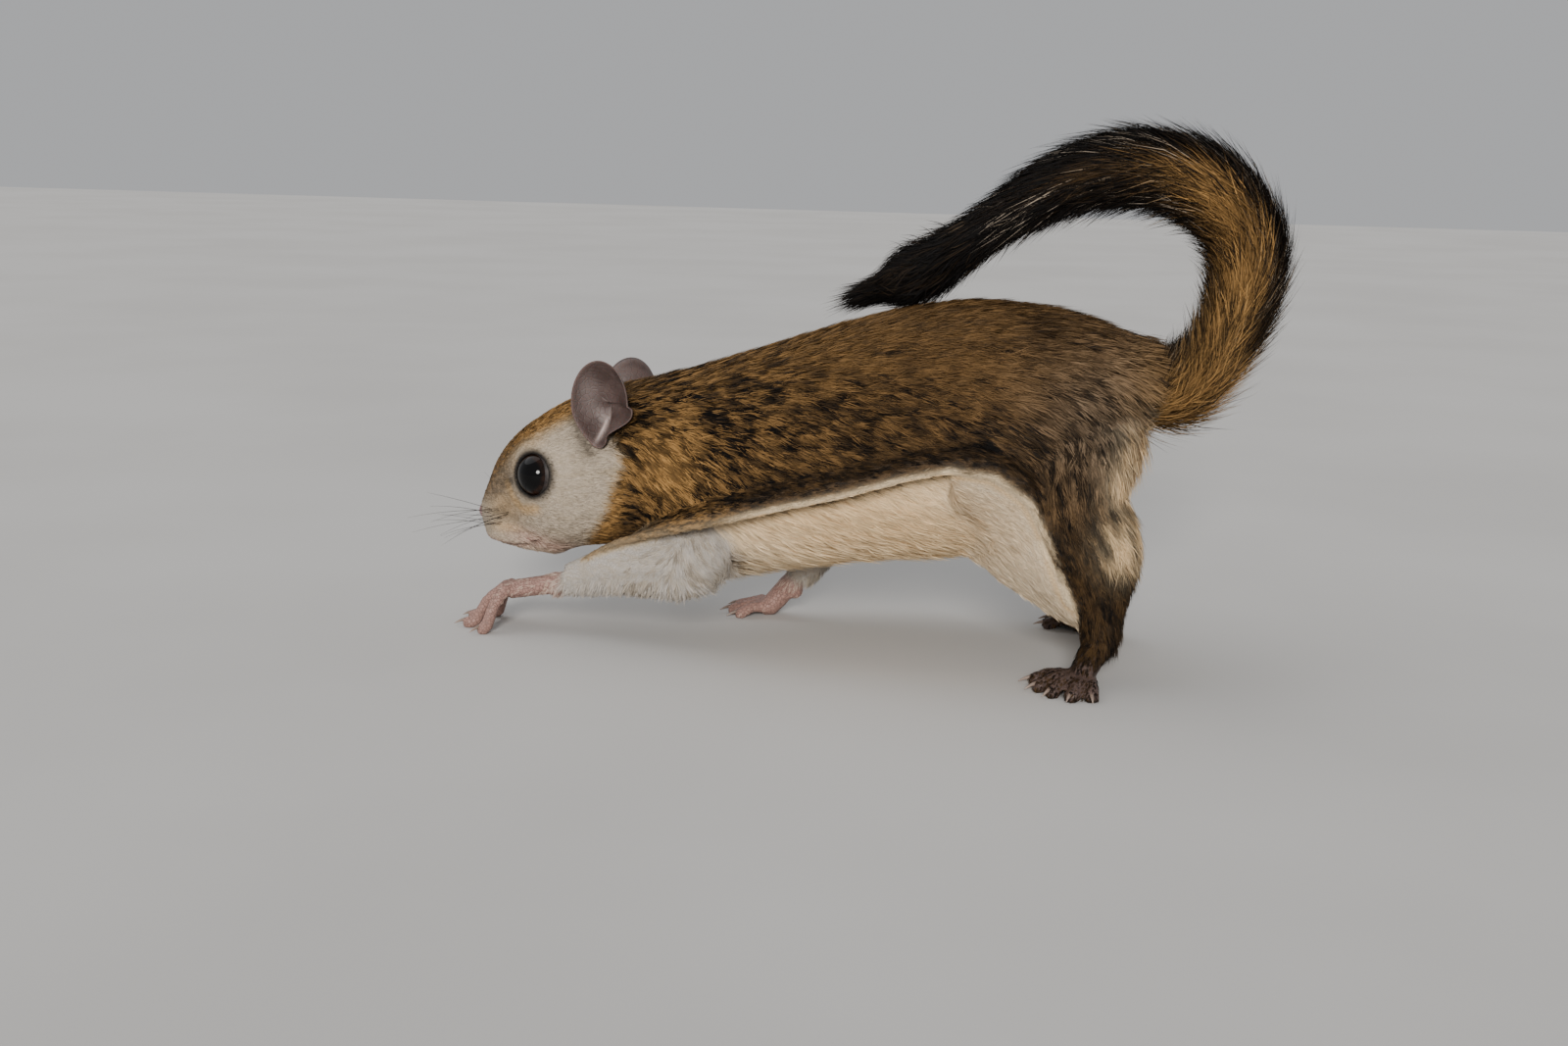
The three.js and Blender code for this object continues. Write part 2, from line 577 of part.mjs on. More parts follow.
function core() {
  return skinOver(
    tailFrames(TAIL_RINGS).map(({ point, side, out, size }) =>
      circle(TAIL_SIDES).map((turn) =>
        point
          .clone()
          .addScaledVector(side, size.wide * CORE_SHARE * Math.cos(turn))
          .addScaledVector(out, size.deep * CORE_SHARE * Math.sin(turn)),
      ),
    ),
  );
}

// A place in the brush: how far along the tail, at what angle round it and at what share of its reach.
function brushPlace(distance, angle, share) {
  const { point, along, side, out, size } = tailAt(distance);
  return point
    .clone()
    .addScaledVector(along, Math.max(0, distance - tailLength))
    .addScaledVector(side, size.wide * share * Math.cos(rad(angle)))
    .addScaledVector(out, size.deep * share * Math.sin(rad(angle)));
}

function lock(start, angle, length, wide, bend) {
  const share = (t) => lerp(ROOT_SHARE, 1, Math.max(0, t) ** 0.75);
  const place = (t) => brushPlace(start + length * t, angle + bend * t * t, share(t));
  return skinOver(
    LOCK_MARKS.map((t) => {
      const way = place(t + 0.05).sub(place(t - 0.05)).normalize();
      const across = way.clone().cross(tailAt(start + length * t).out).normalize();
      const normal = across.clone().cross(way).normalize();
      const half = wide * (0.35 + 1.6 * t) * (1 - t) ** 0.8 + 0.2;
      const thick = lerp(LOCK_HALF_THICKNESS.root, LOCK_HALF_THICKNESS.tip, t);
      return [
        [-half, thick],
        [half, thick],
        [half, -thick],
        [-half, -thick],
      ].map(([sideways, up]) => place(t).addScaledVector(across, sideways).addScaledVector(normal, up));
    }),
  );
}

function brush() {
  const random = seeded(7);
  const vary = (reach) => 1 + reach * (random() - 0.5);
  const locks = LOCK_ROWS.flatMap(({ angle, first, spacing, length, wide }) => {
    const count = Math.floor((tailLength - first - length * 0.6) / spacing);
    return Array.from({ length: count }, (_, i) => {
      const start = first + spacing * (i + 0.2 - 0.2 * vary(2));
      const slim = Math.min(1, tailAt(start + length * 0.5).size.wide / 12);
      const lean = 20 * (random() - 0.5);
      const ownLength = length * vary(0.2) * lerp(0.7, 1, slim);
      return lock(start, angle + lean, ownLength, wide * slim * vary(0.3), -2 * lean);
    });
  });
  return join([core(), ...locks]);
}

// A thin slice square to the tail, wide enough to part the brush but not to meet the next bend.
function slice(distance) {
  const { point, along } = tailAt(distance);
  const sheet = new THREE.BoxGeometry(SLICE_REACH, SLICE_REACH, GAP);
  sheet.applyQuaternion(new THREE.Quaternion().setFromUnitVectors(V(0, 0, 1), along));
  return solidOf(sheet.translate(point.x, point.y, point.z));
}

// The length of the brush that holds the middle of a stretch of the tail.
function lengthAt(pieces, distance) {
  const probe = ball(tailAt(distance).point, 1, 6);
  return pieces.find((piece) => piece.intersect(probe).volume() > 0);
}

// Ears: a cupped leaf of even wall, let into the side of the skull. Its hollow side faces out, turned forward
// by an angle: the left ear listens to the side and the right one more to the front, a little lower.
const EAR_RINGS = 4;
const EAR_SIDES = 18;
const EAR_POSES = {
  left: { root: V(-39.6, -14.8, 46.6), turn: 10 },
  right: { root: V(-41.6, 14.8, 43.8), turn: 36 },
};
const earPose = (side) => (side < 0 ? EAR_POSES.left : EAR_POSES.right);
const earRoot = (side) => earPose(side).root.clone();
const earLift = (side) => V(0, side * 0.05, 1).normalize();
const earRear = (side) => V(Math.cos(rad(earPose(side).turn)), side * Math.sin(rad(earPose(side).turn)), 0);
const earFace = (side) => V(-Math.sin(rad(earPose(side).turn)), side * Math.cos(rad(earPose(side).turn)), 0);

const bell = (t) => Math.exp(-t * t);

function earRing(side, share, behind, grow = 0) {
  return circle(EAR_SIDES).map((turn) => {
    const [across, up] = [Math.cos(turn), Math.sin(turn)];
    const low = Math.max(0, -up);
    const lobe = 1 + 0.25 * bell((turn - 6.0) / 0.35) - 0.5 * bell((turn - 5.45) / 0.35);
    const wide = EAR_WIDTH * 0.5 * share * across * (1 - 0.42 * low * low) * lobe;
    const high = EAR_LENGTH * 0.5 * (1 + share * up);
    const hollow = 4.4 * (1 - share ** 2) + 1.4 * low * (1 - share);
    const curl = 2.4 * share ** 3 * (0.45 * low + 0.25 * across * across);
    return earRoot(side)
      .addScaledVector(earRear(side), wide + grow * across)
      .addScaledVector(earLift(side), high + grow * up)
      .addScaledVector(earFace(side), curl - hollow - behind);
  });
}

const earShares = Array.from({ length: EAR_RINGS }, (_, i) => (i + 1) / EAR_RINGS);

function ear(side) {
  const hollow = earShares.map((share) => earRing(side, share, 0));
  const back = earShares.map((share) => earRing(side, share, EAR_WALL));
  return skinOver([...hollow, ...back.reverse()]);
}

// The room that an ear and its hollow take out of the head.
function earRoom(side) {
  const back = earShares.map((share) => earRing(side, share, EAR_WALL + GAP, GAP));
  return skinOver([earRing(side, 1, -GAP, GAP), ...back.reverse()]);
}

// Eyes, lids, nose and mouth
const eyeAt = (side) => V(-56.3, 10.6 * side, 38.4);
const eyeWay = (side) => V(-0.42, side, 0.1).normalize();

function lids(side) {
  const rim = new THREE.TorusGeometry(EYE_RADIUS * 0.95, LID_THICKNESS, 6, 18);
  rim.scale(0.97, 1.05, 1);
  rim.applyQuaternion(new THREE.Quaternion().setFromUnitVectors(V(0, 0, 1), eyeWay(side)));
  const middle = eyeAt(side).addScaledVector(eyeWay(side), EYE_RADIUS * 0.4);
  return solidOf(rim.translate(middle.x, middle.y, middle.z));
}

const NOSE = { middle: V(-74.3, 0, 26.4), size: [2.2, 2.7, 2.3], lean: 25 };

function nose(grow = 0) {
  return egg(NOSE.middle, NOSE.size.map((s) => s + grow), [0, NOSE.lean, 0], 11);
}

function nostril(side) {
  const middle = NOSE.middle.clone().add(V(-1.7, side * 1.35, -0.3));
  return egg(middle, [1.3, 0.5, 0.8], [0, NOSE.lean, side * 30], 8);
}

// The line of the mouth runs under the whisker pads from the front to the corner, and a cleft splits the lip.
function mouth() {
  const line = [
    { x: -76, z: 20.8 },
    { x: -70, z: 20.0 },
    { x: -66, z: 19.0 },
    { x: -62, z: 18.9 },
    { x: -58.6, z: 20.6 },
  ];
  const groove = skinOver(
    between(line, 12).map(({ x, z }) =>
      [
        [-12, 1],
        [12, 1],
        [12, -1],
        [-12, -1],
      ].map(([y, up]) => V(x, y, z + (up * LIP_GROOVE) / 2)),
    ),
  );
  const cleft = solidOf(new THREE.BoxGeometry(8, LIP_GROOVE, 5).translate(-72.5, 0, 22));
  return cut(join([groove, cleft]), [trunk(-1.2)]);
}

// Assembly
const squirrel = new THREE.Group();

function addNode(name, solid, colour, roughness = 0.9) {
  const material = new THREE.MeshStandardMaterial({ color: colour, roughness, metalness: 0 });
  const rounded = solidOf(setOnGrid(geometryOf(largest(solid).asOriginal().simplify(SLIVER))));
  const mesh = new THREE.Mesh(geometryOf(largest(rounded)), material);
  mesh.name = name;
  squirrel.add(mesh);
}

const earRooms = SIDES.map(([, side]) => earRoom(side));
const body = cut(trunk(), earRooms);
const bodyRoom = trunk(GAP);
const floor = beyond(V(0, 0, 0), V(0, 0, -1));

const sockets = SIDES.map(([, side]) => ball(eyeAt(side), EYE_RADIUS + GAP, 15));
const face = join([stretch(body, null, CUTS.nape), ...SIDES.map(([, side]) => lids(side))]);
addNode("head", cut(face, [...sockets, nose(GAP), mouth()]), COLOUR.face);
addNode("nose", cut(nose(), SIDES.map(([, side]) => nostril(side))), COLOUR.nose, 0.5);
addNode("neck", stretch(body, CUTS.nape, CUTS.withers), COLOUR.back);
addNode("chest", stretch(body, CUTS.withers, CUTS.waist), COLOUR.back);
addNode("loin", stretch(body, CUTS.waist, CUTS.hips), COLOUR.back);
addNode("rump", stretch(body, CUTS.hips, null), COLOUR.back);

for (const [name, side] of SIDES) {
  addNode("eye_" + name, ball(eyeAt(side), EYE_RADIUS, 15), COLOUR.eye, 0.05);
  addNode("ear_" + name, ear(side), COLOUR.ear, 0.6);

  const { stations: armLine, elbow, wrist } = ARMS[name];
  const arm = cut(tube(armLine, LIMB_RINGS, LIMB_SIDES), [bodyRoom]);
  const hand = foot(FEET["forefoot_" + name]);
  addNode("upper_arm_" + name, stretch(arm, null, elbow), COLOUR.leg);
  addNode("forearm_" + name, stretch(arm, elbow, wrist), COLOUR.belly);
  addNode("forefoot_" + name, cut(stretch(hand.solid, wrist, null), [floor]), COLOUR.hand, 0.7);
  hand.claws.forEach((solid, i) => addNode(`claw_fore_${name}_${i + 1}`, solid, COLOUR.claw, 0.35));

  const { stations: legLine, knee, ankle } = LEGS[name];
  const leg = cut(tube(legLine, LIMB_RINGS, LIMB_SIDES), [bodyRoom]);
  const sole = foot(FEET["hindfoot_" + name]);
  addNode("thigh_" + name, stretch(leg, null, knee), COLOUR.back);
  addNode("shank_" + name, stretch(leg, knee, ankle), COLOUR.leg);
  addNode("hindfoot_" + name, cut(stretch(sole.solid, ankle, null), [floor]), COLOUR.foot, 0.7);
  sole.claws.forEach((solid, i) => addNode(`claw_hind_${name}_${i + 1}`, solid, COLOUR.claw, 0.35));

  const limbRoom = [armLine, legLine].map((line) => tube(line, LIMB_RINGS, LIMB_SIDES, GAP));
  const sheet = membrane(MEMBRANES[name], side, name === "left" ? 1.4 : 2.6);
  const sheets = name === "left" ? [sheet, membrane(WEB, side, 1.6)] : [sheet];
  addNode("membrane_" + name, cut(join(sheets), [bodyRoom, ...limbRoom]), COLOUR.membrane);
}

const slices = TAIL_LENGTHS.slice(1).map(([, start]) => slice(start));
const tailPieces = cut(brush(), [bodyRoom, ...slices]).decompose();
for (const [name, start, colour] of TAIL_LENGTHS) {
  addNode(name, lengthAt(tailPieces, start + 13), colour);
}

// The origin is at the middle of the box that holds the animal, on the floor.
const box = new THREE.Box3().setFromObject(squirrel);
squirrel.position.set(onGrid(-(box.min.x + box.max.x) / 2), onGrid(-(box.min.y + box.max.y) / 2), 0);

export default squirrel;
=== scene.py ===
"""The looks of a flying squirrel that reaches forward on four feet, its tail curled over its back.

One skin takes the place of the flesh solids and lies under their surface by the depth of the coat. The coat
is tufts of thin flat hairs that follow the lie, over the whole body and out to the brush of the tail.
Places are worked out in millimetres in the plan of the part, facing -X with the left side towards -Y.
"""

import math
from types import SimpleNamespace

import bmesh
import bpy
import numpy as np
from mathutils import Matrix, Vector
from mathutils.bvhtree import BVHTree


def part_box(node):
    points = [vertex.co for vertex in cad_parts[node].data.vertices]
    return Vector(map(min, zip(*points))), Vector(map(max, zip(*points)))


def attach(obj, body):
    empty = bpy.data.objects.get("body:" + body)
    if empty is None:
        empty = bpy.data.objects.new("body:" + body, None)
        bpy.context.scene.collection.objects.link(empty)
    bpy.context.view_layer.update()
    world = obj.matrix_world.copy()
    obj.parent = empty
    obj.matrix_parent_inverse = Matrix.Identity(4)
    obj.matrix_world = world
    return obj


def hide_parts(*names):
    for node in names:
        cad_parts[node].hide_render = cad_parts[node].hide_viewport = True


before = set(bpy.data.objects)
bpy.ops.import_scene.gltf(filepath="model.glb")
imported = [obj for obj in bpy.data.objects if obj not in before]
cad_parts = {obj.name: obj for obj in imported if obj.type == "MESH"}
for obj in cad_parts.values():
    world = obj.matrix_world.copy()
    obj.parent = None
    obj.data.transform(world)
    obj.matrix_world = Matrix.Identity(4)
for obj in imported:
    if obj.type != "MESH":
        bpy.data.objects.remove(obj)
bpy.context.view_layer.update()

MM = 0.001
LEFT, RIGHT = -1, 1
SIDES = (("left", LEFT), ("right", RIGHT))
SEED = 20
ROOT = "root"
TUFT_SHARE = 1.0

# Sizes of the head, in millimetres
EYE_MIDDLE = (-56.3, 10.6, 38.4)
EYE_WAY = (-0.42, 1.0, 0.1)
EYE_RADIUS = 5.7
NOSE_MIDDLE = (-74.3, 0.0, 26.4)
EAR_ROOTS = {LEFT: (-39.6, -14.8, 46.6), RIGHT: (-41.6, 14.8, 43.8)}
EAR_TURNS = {LEFT: 10, RIGHT: 36}
EAR_LENGTH, EAR_WIDTH, EAR_WALL = 21.0, 15.0, 0.9

# Lines of the head, seen from the side as x and z
MOUTH_LINE = ((-76.0, 20.8), (-70.0, 20.0), (-66.0, 19.0), (-62.0, 18.9), (-58.6, 20.6))
CROWN_LINE = ((-76, 29), (-72, 33.6), (-69, 37.7), (-65.6, 42.2), (-62, 45.2), (-58.5, 47.5), (-54, 50),
              (-49.5, 52.6), (-44, 54.6), (-38, 57))
UNDER_EYE_LINE = ((-65.8, 35.6), (-63.8, 31.6), (-61, 29.7), (-57.2, 30.4))
EAR_FRONT_LINE = ((-49.0, 58.5), (-48.2, 52.2), (-45.4, 47.6), (-43.6, 45.2))

# The rear border of the pale cheek as z and x, and the upper border of the pale arm as x and z
CHEEK_LINE = ((17, -50.6), (21.4, -47), (26, -43.2), (30.6, -40.2), (37, -38.2), (43, -36), (47, -36.4),
              (50, -39), (55, -44))
ARM_LINE = ((-50, 18.5), (-43, 21.7), (-40.5, 22.6), (-30.8, 26.6), (-16.4, 29.4), (-7, 32.8), (7, 38))

# Lines down the middle of the limbs, from the body to the paw
LIMB_LINES = {
    "arm_left": ((-20, -5, 37), (-14.5, -17, 25), (-18, -19, 20.6), (-36, -16.5, 17.8), (-50, -14, 13.2)),
    "arm_right": ((-16, 11, 38), (2, 19, 26), (7, 20, 20), (1.5, 18, 9), (-5, 17.6, 2)),
    "leg_left": ((71, -9, 57), (73, -20, 41), (79, -21, 25), (80.4, -19, 9), (76, -27, 2)),
    "leg_right": ((66, 9, 52), (60, 20, 35), (65, 21.5, 26), (77.4, 19, 12.4), (75.2, 26, 2)),
}

# The free edge of each gliding membrane: x, reach from the middle plane, z
MEMBRANE_EDGES = {
    LEFT: ((-44, 17, 19.8), (-35, 21, 25), (-24, 25.5, 28.6), (-10, 28, 32), (6, 29.5, 36.8), (21, 31, 41),
           (34, 32, 45.4), (46, 32.5, 48.6), (56, 32, 47.6), (63.6, 29, 42), (68.4, 26.5, 31),
           (73.6, 22.5, 18.5)),
    RIGHT: ((5, 20, 12), (9, 21.5, 13), (15, 26, 16.5), (21, 28.5, 19), (29, 29.5, 20.2), (37, 30, 20.6),
            (45, 30, 19.6), (54, 28.5, 17), (62, 26.5, 12.6), (67, 23.5, 8.2), (72, 21, 6.4)),
}

# Stations of the tail: x, y, z, half width, half depth and twist of its brush
TAIL = (
    (84, 0, 62, 7, 7.6, 0), (92.6, 0, 66, 8.4, 8.6, 8), (99.6, 0.2, 71.6, 10.6, 8, 20),
    (104.4, 0.6, 79, 12.4, 6.8, 30), (107.2, 1, 87.8, 13.6, 6.2, 34), (107.4, 1.6, 97, 14.2, 6, 35),
    (103.6, 2.2, 105.4, 14.4, 6, 35), (96.4, 3, 111.4, 14.4, 6, 35), (87, 4, 114.6, 14.4, 6, 34),
    (76, 5.4, 114.6, 14.2, 5.8, 32), (65.2, 7, 111.4, 13.6, 5.6, 28), (55, 8.6, 105.4, 12.6, 5.4, 22),
    (45.4, 10.2, 98.4, 11.2, 5, 16), (36, 11.6, 91.6, 8.8, 4.4, 12), (28, 12.6, 87, 5.6, 3.4, 10),
    (22, 13.2, 84.6, 1.8, 1.4, 10),
)
TAIL_CORE = 0.36  # share of the brush's reach

TRUNK_NODES = ("head", "neck", "chest", "loin", "rump")
LIMB_NODES = ("upper_arm", "forearm", "forefoot", "thigh", "shank", "hindfoot", "membrane")
TAIL_NODES = ("tail_base", "tail_rise", "tail_bend", "tail_crown", "tail_fall", "tail_tip")
FLESH = TRUNK_NODES + tuple(f"{part}_{name}" for part in LIMB_NODES for name, _ in SIDES)
ARM = ("upper_arm", "forearm")
LEG = ("thigh", "shank")
PAWS = ("forefoot", "hindfoot")

# The coat of each part, in millimetres: length of hair, breadth of a hair, radius of a tuft, lift from the
# skin in degrees, depth of the skin under the solids, and tufts to a square millimetre
COAT = {
    "head": dict(length=2.3, breadth=0.15, spread=0.42, lift=18, depth=0.6, tufts=2.7),
    "neck": dict(length=5.2, breadth=0.2, spread=0.8, lift=20, depth=1.1, tufts=1.35),
    "chest": dict(length=6.2, breadth=0.22, spread=0.9, lift=18, depth=1.3, tufts=1.1),
    "loin": dict(length=6.0, breadth=0.21, spread=0.85, lift=17, depth=1.3, tufts=1.15),
    "rump": dict(length=6.8, breadth=0.21, spread=0.85, lift=21, depth=1.4, tufts=1.15),
    "upper_arm": dict(length=2.9, breadth=0.16, spread=0.55, lift=16, depth=0.7, tufts=1.8),
    "forearm": dict(length=2.1, breadth=0.14, spread=0.45, lift=14, depth=0.4, tufts=2.4),
    "forefoot": dict(length=0.8, breadth=0.09, spread=0.25, lift=10, depth=-0.1, tufts=1.2),
    "thigh": dict(length=6.0, breadth=0.21, spread=0.8, lift=22, depth=1.2, tufts=1.3),
    "shank": dict(length=3.9, breadth=0.18, spread=0.6, lift=24, depth=0.8, tufts=1.8),
    "hindfoot": dict(length=1.4, breadth=0.11, spread=0.3, lift=14, depth=-0.05, tufts=2.3),
    "membrane": dict(length=3.4, breadth=0.17, spread=0.6, lift=13, depth=0.0, tufts=1.35),
    "tail": dict(length=6.0, breadth=0.28, spread=0.9, lift=26, depth=0.0, tufts=0.0),
}

# The pieces of the body's coat: their parts, hairs to a tuft and slot
COAT_PIECES = {
    "coat_head": (("head",), 6, "face_coat"),
    "coat_shoulders": (("neck", "chest"), 8, "back_coat"),
    "coat_haunches": (("loin", "rump"), 8, "back_coat"),
    "coat_limbs": (ARM + LEG, 7, "leg_coat"),
    "coat_paws": (PAWS, 7, "leg_coat"),
    "coat_membranes": (("membrane",), 6, "membrane_coat"),
}
PIECE_TRIANGLES = 190000

# Soft spots seen from the side: x and z of the middle, reach along x and along z, and strength
SPOTS = {
    # Form of the muzzle, in millimetres
    "full_lips": (-70.5, 21.5, 4.2, 4.2, 0.85),
    "whisker_bumps": (-69, 23.5, 3.5, 3.5, 0.05),
    # Longer or raised hair
    "armpit": (-13, 21, 9, 7, 1.0),
    "tail_root": (85, 72, 7, 6, 1.0),
    "vent": (89, 56, 8, 7, 1.0),
    "calf": (86, 33, 5, 8, 0.8),
    # Changes of the lie
    "shoulder_fall": (-22, 34, 20, 20, 0.5),
    "haunch_fall": (76, 48, 20, 20, 0.75),
    "vent_lie": (90, 56, 9, 8, 0.9),
    "armpit_lie": (-12, 21, 8, 8, 0.9),
    # Contrast of the streaks
    "bold_streaks": (-24, 42, 24, 22, 1.0),
    # Dark marks
    "eye_corner": (-64.2, 36.4, 1.6, 1.4, 0.75),
    "whisker_rows": (-66.3, 27.5, 4.4, 1.5, 0.75),
    "rump_top": (62, 78, 6, 3.5, 0.6),
    # Ochre marks
    "muzzle": (-67, 30, 6.5, 5, 1.0),
    "mouth_stripe": (-66.5, 24.4, 4.6, 1.8, 0.8),
    "brow": (-59.5, 46.5, 5.5, 2.4, 0.5),
    "before_eye": (-63.5, 41, 1.6, 4, 0.5),
    "shoulder": (-24, 44, 16, 15, 0.85),
    "rump_end": (86, 66, 8, 6, 0.6),
    "warm_belly": (24, 36, 36, 10, 0.6),
    # Pale buff patches
    "buttock": (84, 51, 4.2, 9, 1.15),
    "hock": (84, 35, 5.4, 6.5, 1.15),
    # Grey marks
    "grey_haunch": (76, 60, 16, 16, 0.75),
    "grey_armpit": (-18, 22, 14, 8, 0.7),
    "grey_groin": (48, 40, 6, 5, 0.5),
    # Bare skin of the lips
    "front_lip": (-61.0, 22.0, 4.6, 2.6, 1.0),
    "rear_lip": (-55, 19.4, 4.4, 2.4, 1.0),
}

COLOUR = {
    "black": (0.005, 0.0042, 0.004),
    "brown": (0.042, 0.026, 0.013),
    "ochre": (0.15, 0.084, 0.033),
    "golden": (0.46, 0.255, 0.085),
    "charcoal": (0.022, 0.017, 0.013),
    "silver": (0.25, 0.2, 0.15),
    "buff": (0.7, 0.47, 0.23),
    "cream": (0.86, 0.68, 0.44),
    "cheek": (0.42, 0.36, 0.285),
    "grey": (0.45, 0.415, 0.375),
    "slate": (0.05, 0.043, 0.04),
    # slate: flecks in grey fur, and painted shade in the creases of bare skin
    "pink": (0.44, 0.255, 0.21),
    "lip": (0.64, 0.42, 0.34),
    "mauve": (0.048, 0.032, 0.026),
    "iris_dark": (0.006, 0.003, 0.002),
    "iris_light": (0.018, 0.008, 0.005),
    "pupil": (0.0015, 0.0013, 0.0015),
    "lid_edge_dark": (0.01, 0.008, 0.008),
    "lid_edge_light": (0.028, 0.02, 0.018),
    "lid_dark": (0.05, 0.034, 0.026),
    "lid_light": (0.16, 0.115, 0.085),
    "ear_dark": (0.06, 0.038, 0.033),
    "ear_light": (0.1, 0.068, 0.061),
    "ear_front": (0.22, 0.175, 0.165),
    # painted highlight along the folds of the ear
    "ear_fold_highlight": (0.5, 0.4, 0.37),
    "ear_rim": (0.17, 0.12, 0.108),
    # painted shade in the creases of the nose
    "nose_crease_shade": (0.16, 0.08, 0.075),
    "nose": (0.4, 0.235, 0.22),
    # painted shade in the openings of the nostrils
    "nostril_shade": (0.02, 0.01, 0.01),
    "claw_root": (0.09, 0.055, 0.04),
    "claw_tip": (0.36, 0.27, 0.22),
    "claw_grain": (0.03, 0.02, 0.016),
    "whisker_dark": (0.012, 0.01, 0.01),
    "whisker_light": (0.04, 0.032, 0.028),
    "floor_dark": (0.5, 0.49, 0.475),
    "floor_light": (0.54, 0.53, 0.515),
}


# Places and numbers
def rng_for(name):
    return np.random.default_rng(SEED + sum(ord(letter) for letter in name))


def unit(vectors):
    return vectors / np.maximum(np.linalg.norm(vectors, axis=-1, keepdims=True), 1e-9)


def dot(a, b):
    return np.sum(a * b, axis=-1, keepdims=True)


def ease(values, start, end):
    """From 0 at the start to 1 at the end, softly."""
    share = np.clip((values - start) / (end - start), 0, 1)
    return share * share * (3 - 2 * share)


def bell(distance, reach):
    return np.exp(-((distance / reach) ** 2))


def spot(points, name):
    """How strongly one of the soft spots is felt at each point."""
    x, z, reach_x, reach_z, strength = SPOTS[name]
    return strength * np.exp(-(((points[:, 0] - x) / reach_x) ** 2) - ((points[:, 2] - z) / reach_z) ** 2)


def mixed(a, b, share):
    return a * (1 - share) + b * share


def mirrored(point, side):
    return np.array((point[0], point[1] * side, point[2]), float)


def spline(stations, steps):
    """Smooth rows between stations, by Catmull and Rom's rule."""
    rows = np.array(stations, float)
    padded = np.vstack([2 * rows[0] - rows[1], rows, 2 * rows[-1] - rows[-2]])
    marks = np.linspace(0, len(rows) - 1, steps + 1)
    first = np.minimum(marks.astype(int), len(rows) - 2)
    t = (marks - first)[:, None]
    a, b, c, d = (padded[first + i] for i in range(4))
    return 0.5 * (2 * b + (c - a) * t + (2 * a - 5 * b + 4 * c - d) * t**2 + (3 * b - a - 3 * c + d) * t**3)


def along_line(values, line):
    """The second number of a line where its first one has the value asked."""
    return np.interp(values, *np.array(line).T)


def polyline_distance(points, line):
    """How far each point lies from a line of points, in as many directions as the line has."""
    best = np.full(len(points), 1e9)
    line = np.array(line, float)
    for start, end in zip(line[:-1], line[1:]):
        way = end - start
        share = np.clip(((points - start) @ way) / (way @ way), 0, 1)
        best = np.minimum(best, np.linalg.norm(points - start - share[:, None] * way, axis=1))
    return best


def side_distance(points, line):
    """How far each point lies from a line, seen from the side."""
    return polyline_distance(points[:, [0, 2]], line)


def eye_distance(points):
    folded = np.stack([points[:, 0], np.abs(points[:, 1]), points[:, 2]], -1)
    return np.linalg.norm(folded - np.array(EYE_MIDDLE), axis=1)


def edge_line(side):
    return np.array(MEMBRANE_EDGES[side], float) * (1, side, 1)


def rim_distance(points):
    """How far each point lies from the free edge of the nearer membrane."""
    return np.minimum(*(polyline_distance(points, edge_line(side)) for _, side in SIDES))


def edge_height(x, y):
    """The height of the membrane's free edge, on the side that y says."""
    heights = [np.interp(x, *np.array(MEMBRANE_EDGES[side])[:, [0, 2]].T) for side in (LEFT, RIGHT)]
    return np.where(y < 0, *heights)


def frame_shift():
    """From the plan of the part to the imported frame, which the left eye shows."""
    low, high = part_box("eye_left")
    return np.array((low + high) / 2) - mirrored(EYE_MIDDLE, LEFT) * MM


SHIFT = frame_shift()


# Meshes
def build(name, points, faces, material=None, slot=None):
    """A smooth mesh object from points in millimetres and arrays of faces with any number of corners."""
    mesh = bpy.data.meshes.new(name)
    corners = np.concatenate([part.ravel() for part in faces]).astype(np.int32)
    sizes = np.concatenate([np.full(len(part), part.shape[1]) for part in faces])
    starts = np.concatenate([[0], np.cumsum(sizes)[:-1]]).astype(np.int32)
    mesh.vertices.add(len(points))
    mesh.vertices.foreach_set("co", (points * MM + SHIFT).astype(np.float32).ravel())
    mesh.loops.add(len(corners))
    mesh.loops.foreach_set("vertex_index", corners)
    mesh.polygons.add(len(sizes))
    mesh.polygons.foreach_set("loop_start", starts)
    mesh.polygons.foreach_set("use_smooth", np.full(len(sizes), True))
    mesh.update(calc_edges=True)
    piece = bpy.data.objects.new(name, mesh)
    bpy.context.scene.collection.objects.link(piece)
    if material:
        mesh.materials.append(material)
    if slot:
        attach(piece, ROOT)
    return piece


def add_field(piece, name, values):
    """A colour attribute with up to four values a point."""
    full = np.ones((len(values), 4), np.float32)
    full[:, : values.shape[1]] = values
    layer = piece.data.attributes.new(name, "FLOAT_COLOR", "POINT")
    layer.data.foreach_set("color", full.ravel())


def add_bake_map(piece, corner_places):
    layer = piece.data.uv_layers.new(name="OFBake")
    layer.uv.foreach_set("vector", corner_places.astype(np.float32).ravel())


def grid_faces(rows, columns):
    """Quads over rows of points that close round each row."""
    i, j = np.meshgrid(np.arange(rows - 1), np.arange(columns), indexing="ij")
    a = i * columns + j
    b = i * columns + (j + 1) % columns
    return np.stack([a, b, b + columns, a + columns], -1).reshape(-1, 4)


def closed_grid(rows, points, first, last):
    """A closed body from rows of points round an axis, with a point at each end."""
    columns = len(points) // rows
    ring = np.arange(columns)
    top = (rows - 1) * columns
    caps = [
        np.stack([np.full(columns, rows * columns), np.roll(ring, -1), ring], -1),
        np.stack([np.full(columns, rows * columns + 1), top + ring, top + np.roll(ring, -1)], -1),
    ]
    return np.vstack([points, first, last]), [grid_faces(rows, columns), *caps]


